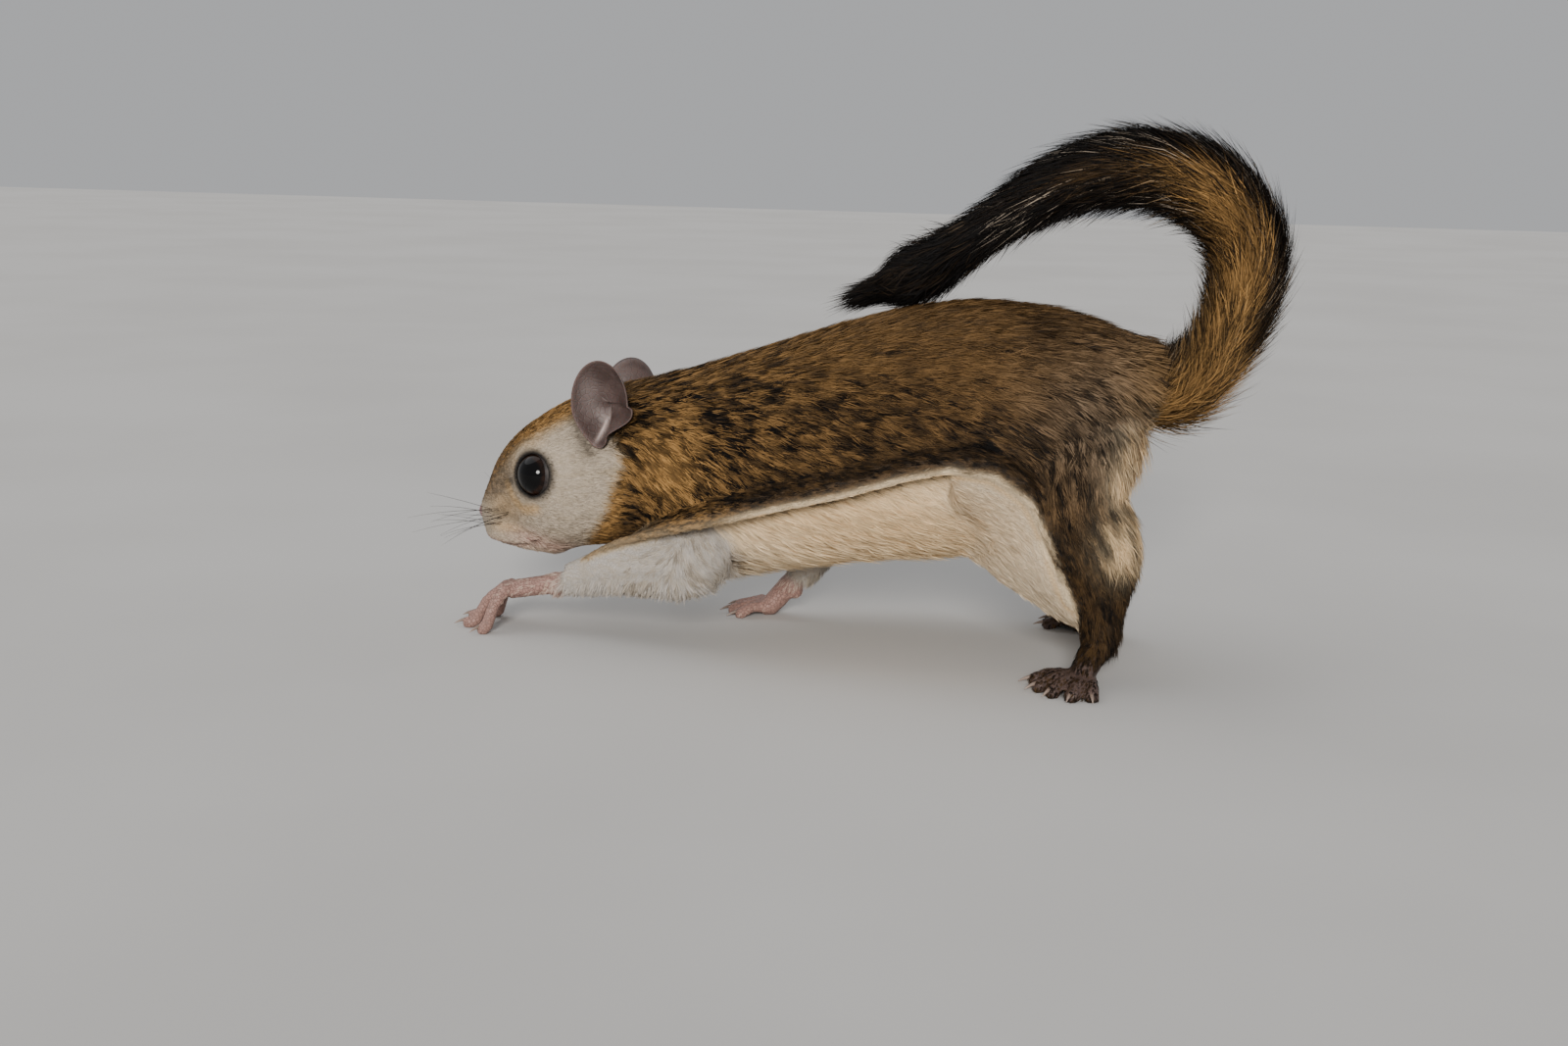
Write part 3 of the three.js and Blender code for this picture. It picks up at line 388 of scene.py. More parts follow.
# The line of the tail, and places in its brush
def tail_frames(steps=400):
    """Finely spaced stations of the tail with their ways along, sideways and out of the curl."""
    rows = spline(TAIL, steps)
    path = rows[:, :3]
    along = unit(np.gradient(path, axis=0))
    level = unit(np.array((0.0, 1.0, 0.0)) - along * along[:, 1:2])
    twist = np.radians(rows[:, 5:6])
    side = level * np.cos(twist) - np.cross(along, level) * np.sin(twist)
    out = unit(np.cross(side, along))
    reach = np.concatenate([[0], np.cumsum(np.linalg.norm(np.diff(path, axis=0), axis=1))])
    return dict(path=path, along=along, side=side, out=out, size=rows[:, 3:5], reach=reach)


TAIL_FRAMES = tail_frames()
TAIL_LENGTH = TAIL_FRAMES["reach"][-1]


def tail_at(distance, key):
    values = TAIL_FRAMES[key]
    return np.stack([np.interp(distance, TAIL_FRAMES["reach"], column) for column in values.T], -1)


def brush_place(distance, angle, share):
    """A place in the brush, by distance along the tail, angle round it and share of its reach."""
    size = tail_at(distance, "size")
    beyond = np.maximum(0, distance - TAIL_LENGTH)[..., None]
    sideways = (size[..., 0] * share * np.cos(angle))[..., None]
    outward = (size[..., 1] * share * np.sin(angle))[..., None]
    return (tail_at(distance, "path") + tail_at(distance, "along") * beyond
            + tail_at(distance, "side") * sideways + tail_at(distance, "out") * outward)


def tail_core():
    rings, sides = 120, 16
    distance = np.repeat(np.linspace(0, TAIL_LENGTH, rings), sides)
    angle = np.tile(np.linspace(0, 2 * math.pi, sides, endpoint=False), rings)
    points = brush_place(distance, angle, np.full(len(angle), TAIL_CORE))
    return closed_grid(rings, points, points[:sides].mean(0), points[-sides:].mean(0))


# The skin: the flesh solids and the tail's core, swollen until their gaps close, fused and smoothed
SKIN_SWELL = 0.25
PAW_SWELL = 0.2
SKIN_CELL = 0.54
SKIN_ROUNDS = 24
PAW_ROUNDS = 5
COAT_ROUNDS = 30
PAW_COAT_ROUNDS = 90


def swollen(node):
    """A closed copy of a solid, pushed out along its normals."""
    body = bmesh.new()
    body.from_mesh(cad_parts[node].data)
    bmesh.ops.remove_doubles(body, verts=body.verts, dist=1e-6)
    bmesh.ops.recalc_face_normals(body, faces=body.faces)
    body.normal_update()
    swell = SKIN_SWELL + (PAW_SWELL if "foot" in node else 0.0)
    for vertex in body.verts:
        vertex.co += vertex.normal * swell * MM
    return body


def gathered_flesh():
    """The swollen solids and the tail's core in one mesh object, not yet fused."""
    whole = bmesh.new()
    for node in FLESH:
        body = swollen(node)
        scratch = bpy.data.meshes.new("scratch")
        body.to_mesh(scratch)
        whole.from_mesh(scratch)
        body.free()
        bpy.data.meshes.remove(scratch)
    core = build("scratch_core", *tail_core())
    whole.from_mesh(core.data)
    bpy.data.objects.remove(core)
    mesh = bpy.data.meshes.new("scratch_flesh")
    whole.to_mesh(mesh)
    whole.free()
    flesh = bpy.data.objects.new("scratch_flesh", mesh)
    bpy.context.scene.collection.objects.link(flesh)
    return flesh


def fused_flesh():
    flesh = gathered_flesh()
    remesh = flesh.modifiers.new("fuse", "REMESH")
    remesh.mode = "VOXEL"
    remesh.voxel_size = SKIN_CELL * MM
    ready = flesh.evaluated_get(bpy.context.evaluated_depsgraph_get()).to_mesh()
    points = np.empty(len(ready.vertices) * 3)
    ready.vertices.foreach_get("co", points)
    quads = np.empty(len(ready.loops), np.int32)
    ready.loops.foreach_get("vertex_index", quads)
    bpy.data.objects.remove(flesh)
    return (points.reshape(-1, 3) - SHIFT) / MM, quads.reshape(-1, 4)


def edges_of(quads):
    pairs = np.concatenate([quads[:, [i, (i + 1) % 4]] for i in range(4)])
    pairs.sort(axis=1)
    return np.unique(pairs, axis=0)


def neighbour_mean(values, edges):
    a, b = edges.T
    count = np.bincount(a, minlength=len(values)) + np.bincount(b, minlength=len(values))
    total = np.stack([
        np.bincount(a, column[b], len(values)) + np.bincount(b, column[a], len(values)) for column in values.T
    ], -1)
    return total / np.maximum(count, 1)[:, None]


def relaxed(values, edges, rounds):
    for _ in range(rounds):
        values = neighbour_mean(values, edges)
    return values


def rounded_off(points, edges, rounds):
    """Smooths facets away without drawing the form in, by Taubin's rule."""
    for _ in range(rounds):
        points = mixed(points, neighbour_mean(points, edges), 0.6)
        points = mixed(points, neighbour_mean(points, edges), -0.62)
    return points


def normals_of(points, quads):
    a, b, c, d = (points[quads[:, i]] for i in range(4))
    facing = np.cross(c - a, d - b)
    total = np.stack([
        sum(np.bincount(quads[:, i], facing[:, axis], len(points)) for i in range(4)) for axis in range(3)
    ], -1)
    return unit(total)


def nearest_parts(points):
    """The node each point belongs to, or tail."""
    corners, faces, owners = [], [], []
    for node in FLESH:
        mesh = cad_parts[node].data
        start = len(corners)
        corners.extend((np.array(v.co) - SHIFT) / MM for v in mesh.vertices)
        faces.extend([start + i for i in polygon.vertices] for polygon in mesh.polygons)
        owners.extend([node] * len(mesh.polygons))
    core, core_faces = tail_core()
    start = len(corners)
    corners.extend(core)
    for part in core_faces:
        faces.extend((start + part).tolist())
        owners.extend(["tail"] * len(part))
    tree = BVHTree.FromPolygons(corners, faces)
    return np.array([owners[tree.find_nearest(Vector(point))[2]] for point in points])


def clear_of_eyes(points):
    """Skin that would cut into an eye, or nearly touches it, lies just over its ball."""
    for _, side in SIDES:
        middle = mirrored(EYE_MIDDLE, side)
        from_eye = points - middle
        reach = np.linalg.norm(from_eye, axis=1)
        near = (reach < EYE_RADIUS + 0.9) & (reach > EYE_RADIUS - 1.5)
        lifted = middle + unit(from_eye) * np.maximum(reach, EYE_RADIUS + 0.12)[:, None]
        points = np.where(near[:, None], lifted, points)
    return points


def shaped_face(points, normals):
    """Skin that hugs the eyes, a brow, the line of the mouth, full lips and rows of whisker bumps."""
    head = ease(-points[:, 0], 50, 54)
    brow = 0.25 * bell(eye_distance(points) - EYE_RADIUS - 2.2, 0.9)
    points = clear_of_eyes(points)
    x, _, z = points.T
    brow *= ease(z, 38, 43)
    mouth = side_distance(points, MOUTH_LINE)
    before_corner = head * ease(-x, 57.5, 59.5) * ease(6.5 - mouth, 0, 1)
    lips = 0.3 * bell(mouth - 1.3, 0.8) - 0.75 * bell(mouth, 0.5)
    bumps = spot(points, "whisker_bumps") * np.sin(x * 3.4) * np.sin(z * 3.8)
    rise = before_corner * lips + head * (bumps + brow + spot(points, "full_lips"))
    return points + normals * rise[:, None]


def coat_fields(part, edges):
    """The coat's sizes at each point of the skin, eased from part to part."""
    keys = tuple(COAT["head"])
    table = np.array([[COAT[name][key] for key in keys] for name in part])
    eased = dict(zip(keys, relaxed(table, edges, COAT_ROUNDS).T))
    slow_keys = [keys.index("length"), keys.index("tufts")]
    eased["length"], eased["tufts"] = relaxed(table[:, slow_keys], edges, PAW_COAT_ROUNDS).T
    return eased


def fit_to_face(fields, points):
    """Hair grows shorter towards the eye, the nose and the lips, and none grows on nose, lips and lids."""
    away = eye_distance(points)
    muzzle = ease(-points[:, 0], 60, 71)
    near_eye = 1 - ease(away, EYE_RADIUS + 0.6, EYE_RADIUS + 6)
    for key in ("length", "breadth", "spread"):
        fields[key] = fields[key] * (1 - 0.55 * np.maximum(near_eye, muzzle))
    shallow = np.maximum(1 - ease(away, EYE_RADIUS + 1.2, EYE_RADIUS + 4.5), 0.8 * muzzle)
    fields["depth"] = fields["depth"] * (1 - shallow)
    nose = bell(np.linalg.norm(points - np.array(NOSE_MIDDLE), axis=1), 3.2)
    lips = bell(side_distance(points, MOUTH_LINE), 1.1) * ease(-points[:, 0], 57, 60)
    lid = 1 - ease(away, EYE_RADIUS + 0.5, EYE_RADIUS + 1.3)
    fields["tufts"] = fields["tufts"] * np.clip(1 - 1.3 * nose - lips - lid, 0.0, 1) * (1 + 0.5 * muzzle)


def fit_to_body(fields, points, normals, part):
    """Hair is short along the rims, flat on the belly, and longer at fringes, rump and root of the tail."""
    x, y, z = points.T
    arm = np.isin(part, ARM)
    trunk = np.isin(part, ("chest", "loin", "rump"))
    down = ease(-normals[:, 2], 0.25, 0.7)
    at_rim = 1 - ease(rim_distance(points), 1.5, 6.0)
    pale_side = ease(edge_height(x, y) - z, -1, 1) * (trunk | (part == "membrane"))
    flat = np.maximum(pale_side, arm) * (1 - down)
    armpit = spot(points, "armpit") * (arm | (part == "chest"))
    tail_root = spot(points, "tail_root") * (part == "rump")
    vent = spot(points, "vent") * np.isin(part, ("rump", "thigh"))
    rear = np.maximum(vent, spot(points, "calf") * np.isin(part, LEG))
    ankle = (part == "shank") * ease(22 - z, 0, 10)
    wrist = np.isin(part, PAWS) * ease(z, 3.5, 10)
    fringe = 0.9 * arm * down + 0.2 * trunk * down + 0.4 * armpit
    longer = 1 + fringe + 0.5 * tail_root + 0.9 * rear + 0.35 * ankle + 0.9 * wrist
    raised = down * (36 * arm + 16 * trunk) + 34 * tail_root + 16 * rear + 8 * ankle
    fields["length"] = fields["length"] * (1 - 0.5 * at_rim) * longer
    fields["lift"] = fields["lift"] * (1 - 0.5 * at_rim) * (1 - 0.5 * flat) + raised
    fields["breadth"] = fields["breadth"] * (1 - 0.25 * flat)
    fields["tufts"] = fields["tufts"] * (1 + 0.3 * flat)


def make_skin():
    """The skin's points and faces with all that the coat needs at each point."""
    points, quads = fused_flesh()
    edges = edges_of(quads)
    points = rounded_off(points, edges, PAW_ROUNDS)
    owners = nearest_parts(points)
    part = np.array([owner if owner in COAT else owner.rsplit("_", 1)[0] for owner in owners])
    fields = coat_fields(part, edges)
    paws = relaxed(np.isin(part, PAWS)[:, None] * 1.0, edges, 6)
    points = mixed(rounded_off(points, edges, SKIN_ROUNDS - PAW_ROUNDS), points, paws)
    fit_to_face(fields, points)
    normals = relaxed(normals_of(points, quads), edges, 3)
    fit_to_body(fields, points, unit(normals), part)
    points = points - normals * (fields["depth"] + SKIN_SWELL)[:, None]
    points = shaped_face(points, unit(normals))
    points[:, 2] = np.maximum(points[:, 2], 0.0)
    normals = unit(relaxed(normals_of(points, quads), edges, 2))
    skin = dict(points=points, quads=quads, edges=edges, normals=normals)
    skin.update(owners=owners, part=part, fields=fields)
    skin["lie"] = coat_lie(skin)
    skin["streaks"] = streaks(skin)
    skin["masks"] = markings(skin)
    return skin


# The lie of the coat
MUZZLE_TIP = (-80.0, 0.0, 31.0)
LIE_ROUNDS = 24
STREAK_ROUNDS = 7
STREAK_KEENNESS = 20
STREAK_RUN = 0.7


def along_limb(points, line):
    """The way of the nearest stretch of a line, from its first point to its last."""
    line = np.array(line, float)
    best = np.full(len(points), 1e9)
    way = np.zeros_like(points)
    for start, end in zip(line[:-1], line[1:]):
        step = end - start
        share = np.clip(((points - start) @ step) / (step @ step), 0, 1)
        distance = np.linalg.norm(points - start - share[:, None] * step, axis=1)
        nearer = distance < best
        best = np.where(nearer, distance, best)
        way[nearer] = step / np.linalg.norm(step)
    return way


def lay_limbs(skin, way):
    """Hair runs down the limbs, and hangs under the arms."""
    for limb, parts in (("arm", ARM + ("forefoot",)), ("leg", LEG + ("hindfoot",))):
        for name, _ in SIDES:
            own = np.isin(skin["owners"], [f"{part}_{name}" for part in parts])
            hanging = 1.1 * (limb == "arm") * ease(-skin["normals"][:, 2], -0.15, 0.4)[:, None]
            along = along_limb(skin["points"], LIMB_LINES[f"{limb}_{name}"])
            way[own] = unit(along + (0.15, 0, -0.1) + hanging * (0.3, 0, -1.0))[own]


def lay_membranes(skin, way, under):
    """Hair runs out over the membranes, and along them at the rim."""
    for name, side in SIDES:
        own = skin["owners"] == f"membrane_{name}"
        at_rim = (1 - ease(polyline_distance(skin["points"], edge_line(side)), 2, 8))[:, None]
        outer = mixed(np.array((0.9, 0.3 * side, -0.4)), np.array((0.55, 0.1 * side, -0.8)), under[:, None])
        way[own] = unit(mixed(unit(outer), along_limb(skin["points"], edge_line(side)), at_rim))[own]


def coat_lie(skin):
    """Hair lies back from the nose, down the flanks, along the limbs and out over the membranes."""
    points, normals, part = skin["points"], skin["normals"], skin["part"]
    x, y, z = points.T
    slope = 1 - np.abs(normals[:, 2])
    fall = slope * (0.28 + spot(points, "shoulder_fall") + spot(points, "haunch_fall"))
    under = ease(edge_height(x, y) - z, -1, 3) * ease(x, -30, -10) * slope
    way = np.stack([1 - 0.2 * under, 0.04 * np.sign(y) * slope, -mixed(fall, 0.75, under)], -1)
    way = mixed(unit(way), np.array((1.0, 0.0, -0.25)), spot(points, "vent_lie")[:, None])
    head = part == "head"
    way[head] = unit(unit(points - np.array(MUZZLE_TIP)) + (0.35, 0, -0.1))[head]
    lay_limbs(skin, way)
    armpit = (spot(points, "armpit_lie") * np.isin(part, ARM))[:, None]
    way = mixed(unit(way), np.array((0.85, 0.0, -0.5)), armpit)
    lay_membranes(skin, way, under)
    way[part == "tail"] = unit(np.array((1.0, 0.0, 0.5)))
    way = unit(relaxed(unit(way), skin["edges"], LIE_ROUNDS))
    return unit(way - normals * dot(way, normals))


def streaks(skin):
    """Long narrow streaks that run with the lie: chance values let run along it and little across."""
    points, quads, lie = skin["points"], skin["quads"], skin["lie"]
    links = np.concatenate([skin["edges"], quads[:, [0, 2]], quads[:, [1, 3]]])
    a, b = np.concatenate([links, links[:, ::-1]]).T
    step = unit(points[b] - points[a])
    weight = np.abs(dot(step, lie[a]))[:, 0] ** STREAK_KEENNESS
    total = np.maximum(np.bincount(a, weight, len(points)), 1e-9)
    values = rng_for("streaks").standard_normal(len(points))
    for _ in range(STREAK_ROUNDS):
        values = mixed(values, np.bincount(a, weight * values[b], len(points)) / total, STREAK_RUN)
    return values / values.std()


# Markings, as masks from nothing to full at each point of the skin
REAR_START, REAR_FULL = -14, 4
BRISTLE_SPACING = 1.1
PAW_EDGE_ROUNDS = 60


def lay_out(skin):
    """What the markings go by: the parts, the way out, and how far the lines between colours are."""
    points, part = skin["points"], skin["part"]
    x, y, z = points.T
    at = SimpleNamespace(points=points, part=part, x=x, z=z, streaks=skin["streaks"])
    at.up = skin["normals"][:, 2]
    at.outward = skin["normals"][:, 1] * np.sign(y)
    at.head = part == "head"
    at.neck = part == "neck"
    at.trunk = np.isin(part, ("neck", "chest", "loin", "rump"))
    at.arm = np.isin(part, ARM)
    at.leg = np.isin(part, LEG)
    at.membrane = part == "membrane"
    at.rear = ease(x, REAR_START, REAR_FULL)
    at.drop = edge_height(x, y) - z
    at.rim = rim_distance(points)
    at.past_cheek = x - along_line(z, CHEEK_LINE)
    at.behind = ease(at.past_cheek, -1.6, 1.4)
    at.crown = ease(z - along_line(x, CROWN_LINE), -3.0, 2.0)
    at.face = (1 - at.behind) * (1 - at.crown)
    at.bridge = at.head * ease(-x, 62, 67.5) * ease(z - 0.5 * (x + 70), 29.5, 33.5)
    at.muzzle = spot(points, "muzzle") * at.head
    at.throat = ease(-x, 24, 34) * ease(z, 14, 22)
    at.below = mixed(ease(at.drop, -2.6, 1.6), ease(at.drop, -0.6, 0.6), at.rear)
    inside_edges = ease(x, -46, -38) * ease(76 - x, 0, 5)
    at.belly = np.maximum(at.below * inside_edges, ease(-at.up, 0.45, 0.8))
    at.under_thigh = ease(at.drop, 0.0, 1.5) * ease(75 - x, 0, 2) * at.leg * ease(-x, -58, -66)
    at.buff = buff_patches(at)
    at.cream_rim = bell(at.rim, 1.0) * at.membrane * at.rear
    at.arm_band = bell(at.drop + 1.5, 2.6) * (at.trunk | at.membrane | at.arm) * (1 - at.rear)
    at.arm_band = at.arm_band * ease(at.outward, 0.0, 0.4)
    return at


def buff_patches(at):
    """Mottled pale patches on the buttock and behind the shank."""
    patches = np.maximum(spot(at.points, "buttock"), spot(at.points, "hock"))
    mottled = np.clip(patches * (0.9 + 0.36 * at.streaks), 0, 1)
    return mottled * ease(at.outward, -0.9, -0.2) * np.isin(at.part, ("rump", "thigh", "shank"))


def pale_mask(at):
    """The belly, the face, the arms, the inner sides of the legs and the web under the membrane's edge."""
    arm_side = ease(along_line(at.x, ARM_LINE) - at.z, -2.6, 1.6)
    web = np.maximum(at.below, 1 - ease(at.outward + 0.6 * at.up, -0.1, 0.35))
    pale = np.where(at.trunk, at.belly, 0.0)
    pale = np.where(at.neck, pale * (1 - at.throat), pale)
    pale = np.where(at.arm, np.maximum(arm_side, ease(-at.up, 0.2, 0.6)), pale)
    pale = np.where(at.leg, 0.9 * ease(-at.outward, 0.25, 0.7), pale)
    pale = np.where(at.part == "forefoot", 0.85, pale)
    pale = np.where(at.membrane, web * mixed(0.3, 1.0, at.rear), pale)
    pale = np.where(at.head | at.neck, np.maximum(pale * at.behind, at.face), pale)
    pale = np.maximum.reduce([pale, 0.85 * at.buff, at.under_thigh])
    return pale * (1 - 0.7 * at.bridge) * (1 - (0.22 + 0.4 * at.muzzle) * at.face)


def face_dark(at):
    """The ring round the eye, its front corner, the front of the ear, the rows of whiskers and the bridge."""
    ring = 1 - ease(eye_distance(at.points), EYE_RADIUS + 0.7, EYE_RADIUS + 1.9)
    ear_front = bell(side_distance(at.points, EAR_FRONT_LINE), 1.7)
    bristles = 0.5 + 0.5 * np.cos((at.z - 0.1 * (at.x + 66)) * 2 * math.pi / BRISTLE_SPACING)
    rows = spot(at.points, "whisker_rows") * ease(bristles, 0.4, 0.75)
    corner = spot(at.points, "eye_corner")
    return at.head * np.maximum.reduce([ring, corner, 0.7 * ear_front, rows, 0.3 * at.bridge])


def dark_mask(at, pale):
    """Dark on face, rump and hind feet, and on the membrane, most in a band above its edge, which is dark fur
    deepened with painted shade.
    """
    shaded_upper_edge = (at.trunk | at.membrane) * ease(at.outward, 0.1, 0.5) * (1 - at.belly) * at.rear
    dark = np.maximum.reduce([
        face_dark(at),
        0.2 * at.throat * at.neck * (1 - pale),
        spot(at.points, "rump_top"),
        # the band above the membrane's edge: dark fur, deepened with painted shade
        0.6 * bell(at.drop + 4.5, 3.6) * shaded_upper_edge,
        0.6 * ease(at.outward, -0.5, 0.0) * (at.part == "shank"),
        0.6 * (at.part == "hindfoot"),
        0.14 * ease(56 - at.z, 0, 14) * (at.part == "thigh"),
        0.4 * (1 - pale) * at.rear * at.membrane,
    ])
    return dark * (1 - at.buff) * (1 - at.under_thigh) * (1 - at.arm_band) * (1 - at.cream_rim)


def face_ochre(at):
    """The crown, the brow, patches before and under the eye, the bridge and the stripe above the mouth."""
    under_eye = bell(side_distance(at.points, UNDER_EYE_LINE), 1.5)
    spots = [spot(at.points, name) for name in ("mouth_stripe", "brow", "before_eye")]
    return at.head * np.maximum.reduce([0.75 * at.crown, under_eye, 0.5 * at.bridge, *spots])


def ochre_mask(at, pale):
    """Gold on face, neck and shoulder, at the root of the tail, on the belly's side and under the rim."""
    behind_cheek = bell(at.past_cheek - 2.4, 2.2) * ease(48 - at.z, 0, 8) * (at.head | at.neck)
    under_rim = bell(at.rim - 2.1, 0.8) * at.membrane * (at.drop > 0) * at.rear
    ochre = np.maximum.reduce([
        face_ochre(at),
        spot(at.points, "shoulder") * at.trunk * at.behind,
        0.8 * behind_cheek,
        spot(at.points, "rump_end"),
        0.9 * under_rim,
        spot(at.points, "warm_belly") * pale * (at.trunk | at.membrane),
        0.25 * ease(-at.x, -40, 10) * at.trunk * (1 - pale),
        0.7 * at.buff,
        0.55 * at.arm_band * (1 - pale),
        0.14 * at.face,
        0.75 * at.muzzle * at.face,
    ])
    return ochre * (1 - at.cream_rim)


def grey_mask(at, pale):
    """Silver over the haunch and pearl grey in pale hair of face, arms, armpit and groin."""
    grey = np.maximum.reduce([
        spot(at.points, "grey_haunch") * (1 - pale),
        1.0 * (at.arm | (at.part == "forefoot")),
        0.8 * at.face,
        spot(at.points, "grey_armpit") * pale,
        0.45 * at.membrane * at.below * ease(at.x, 38, 50),
        spot(at.points, "grey_groin") * pale,
    ])
    return grey * (1 - at.cream_rim)


def bare_mask(at, edges):
    """The bare skin of paws and lips."""
    paws = relaxed(np.isin(at.part, PAWS)[:, None] * 1.0, edges, PAW_EDGE_ROUNDS)[:, 0]
    hairy_instep = 0.5 * ease(at.z, 5, 9) * (at.part == "hindfoot")
    lips = at.head * np.clip(spot(at.points, "front_lip") + spot(at.points, "rear_lip"), 0, 1)
    mouth = 0.8 * bell(side_distance(at.points, MOUTH_LINE), 0.9) * ease(-at.x, 56.5, 60)
    return np.maximum.reduce([ease(paws, 0.3, 0.85) * (1 - hairy_instep), lips, mouth])


def markings(skin):
    """Pale, dark, ochre and grey masks of the coat, and the bare skin."""
    at = lay_out(skin)
    pale = pale_mask(at)
    dark = dark_mask(at, pale)
    pale = np.maximum(pale, at.cream_rim)
    masks = [pale, dark, ochre_mask(at, pale), grey_mask(at, pale), bare_mask(at, skin["edges"])]
    return relaxed(np.clip(np.stack(masks, -1), 0, 1), skin["edges"], 1)


# Tufts of hair
HAIR_MARKS = np.array((0.0, 0.5, 1.0))
HAIR_TAPER = np.array((0.85, 1.0))
BAKE_PATCH = 0.003
BAKE_FILL = 0.9


def ribbon_points(marks):
    """The points of a flat hair: two at every mark but the last, which is its tip."""
    return 2 * (len(marks) - 1) + 1


def ribbon_faces(count, marks):
    size = ribbon_points(marks)
    base = (np.arange(count) * size)[:, None]
    quads = [base + np.array((2 * i, 2 * i + 1, 2 * i + 3, 2 * i + 2)) for i in range(len(marks) - 2)]
    tips = base + np.array((size - 3, size - 2, size - 1))
    return [np.vstack(quads), tips]


def ribbons(paths, ways, breadths, taper):
    """Points of flat hairs along their paths, as wide as breadth and taper say, with a tip."""
    half = (breadths[:, None] * taper / 2)[..., None] * ways
    left = paths[:, :-1] - half
    right = paths[:, :-1] + half
    body = np.stack([left, right], 2).reshape(len(paths), -1, 3)
    return np.concatenate([body, paths[:, -1:]], 1).reshape(-1, 3)


def along_hair(marks):
    """The share of its length at which each point of a flat hair lies."""
    return np.append(np.repeat(marks[:-1], 2), 1.0)


def bake_places(homes, order, hairs, marks):
    """Each tuft's own small patch of the bake map, its hairs side by side at the root's place."""
    side = np.append(np.tile((0.0, 1.0), len(marks) - 1), 0.5)
    across = (order[:, None] + side * BAKE_FILL) / hairs - 0.5
    up = np.broadcast_to(along_hair(marks) - 0.5, across.shape)
    places = homes[:, None] + BAKE_PATCH * np.stack([across, up], -1)
    return places.reshape(-1, 2)


def scatter(skin, parts, random):
    """Roots of tufts over the parts named: the three points round each and their shares."""
    quads = skin["quads"]
    triangles = np.concatenate([quads[:, [0, 1, 2]], quads[:, [0, 2, 3]]])
    corners = np.concatenate([skin["corners"][:, [0, 1, 2]], skin["corners"][:, [0, 2, 3]]])
    own = np.isin(skin["part"][triangles[:, 0]], parts)
    triangles, corners = triangles[own], corners[own]
    a, b, c = (skin["points"][triangles[:, i]] for i in range(3))
    area = np.linalg.norm(np.cross(b - a, c - a), axis=1) / 2
    weight = np.cumsum(area * skin["fields"]["tufts"][triangles].mean(1))
    count = int(weight[-1] * TUFT_SHARE)
    marks = (np.arange(count) + random.random(count)) / count * weight[-1]
    chosen = np.minimum(np.searchsorted(weight, marks), len(triangles) - 1)
    u, v = random.random((2, count))
    flip = u + v > 1
    u, v = np.where(flip, 1 - u, u), np.where(flip, 1 - v, v)
    return triangles[chosen], corners[chosen], np.stack([1 - u - v, u, v], -1)


def streak_tone(points, streak, random):
    """A tone for each tuft: low in black streaks, high in bright ones, more even on spine and head."""
    bold = spot(points, "bold_streaks")
    spine = ease(points[:, 2], 58, 74)
    rump = ease(points[:, 0], 40, 62)
    even = np.maximum(spine * (1 - rump), ease(-points[:, 0], 28, 42))
    contrast = mixed(0.17 + 0.17 * bold, 0.11, even)
    middle = 0.47 + 0.2 * np.maximum(spine, even) + 0.01 * bold + 0.03 * rump
    chance = 0.7 * random.standard_normal(len(points))
    return np.clip(middle + contrast * (streak + chance), 0, 1)


def tufts_on(skin, parts, random):
    """The roots of a piece's tufts, with the skin's values there."""
    triangles, corners, shares = scatter(skin, parts, random)

    def at_roots(values, places=triangles):
        letters = "ij,ij->i" if values.ndim == 1 else "ijk,ij->ik"
        return np.einsum(letters, values[places], shares)

    tufts = SimpleNamespace(count=len(triangles))
    tufts.fields = {key: at_roots(values) for key, values in skin["fields"].items()}
    tufts.roots = at_roots(skin["points"])
    tufts.normal = unit(at_roots(skin["normals"]))
    tufts.way = unit(at_roots(skin["lie"]))
    tufts.masks = at_roots(skin["masks"])
    tufts.homes = at_roots(skin["bake"], corners)
    tufts.tone = streak_tone(tufts.roots, at_roots(skin["streaks"]), random)
    return tufts


def hair_paths(tufts, hairs, random):
    """The path of each hair, which leans and draws in to the tuft's tip, and the way across it."""
    each = np.repeat(np.arange(tufts.count), hairs)
    total = len(each)
    roots, normal, way = tufts.roots[each], tufts.normal[each], tufts.way[each]
    length = tufts.fields["length"][each] * (0.72 + 0.5 * random.random(total))
    length *= np.repeat(0.8 + 0.4 * random.random(tufts.count), hairs)
    yaw = np.repeat(0.16 * random.standard_normal(tufts.count), hairs) + 0.1 * random.standard_normal(total)
    way = way * np.cos(yaw)[:, None] + np.cross(normal, way) * np.sin(yaw)[:, None]
    across = np.cross(normal, way)
    turn = 2 * math.pi * random.random(total)
    reach = tufts.fields["spread"][each] * np.sqrt(random.random(total))
    lift = np.radians(tufts.fields["lift"][each] * (0.7 + 0.6 * random.random(total)))
    s = HAIR_MARKS[None, :]
    start = (reach * np.sin(turn))[:, None] - 0.15 * length[:, None]
    forward = start + length[:, None] * s * np.cos(lift)[:, None]
    sideways = (reach * np.cos(turn))[:, None] * (1 - 0.65 * s**1.4)
    height = length[:, None] * np.sin(lift)[:, None] * s * (1 - 0.5 * s) - 0.12
    paths = (roots[:, None] + way[:, None] * forward[..., None] + across[:, None] * sideways[..., None]
             + normal[:, None] * height[..., None])
    paths[..., 2] = np.maximum(paths[..., 2], 0.05)
    roll = 0.35 * random.standard_normal(total)
    return paths, across * np.cos(roll)[:, None] + normal * np.sin(roll)[:, None]


def body_coat(name, skin, parts, hairs, slot):
    random = rng_for(name)
    tufts = tufts_on(skin, parts, random)
    paths, across = hair_paths(tufts, hairs, random)
    breadth = np.repeat(tufts.fields["breadth"], hairs)
    points = ribbons(paths, across[:, None], breadth, HAIR_TAPER)
    strand = np.stack([np.repeat(tufts.tone, hairs), random.random(len(paths))], -1)
    place_hairs(name, slot, points, tufts, strand, hairs, HAIR_MARKS)


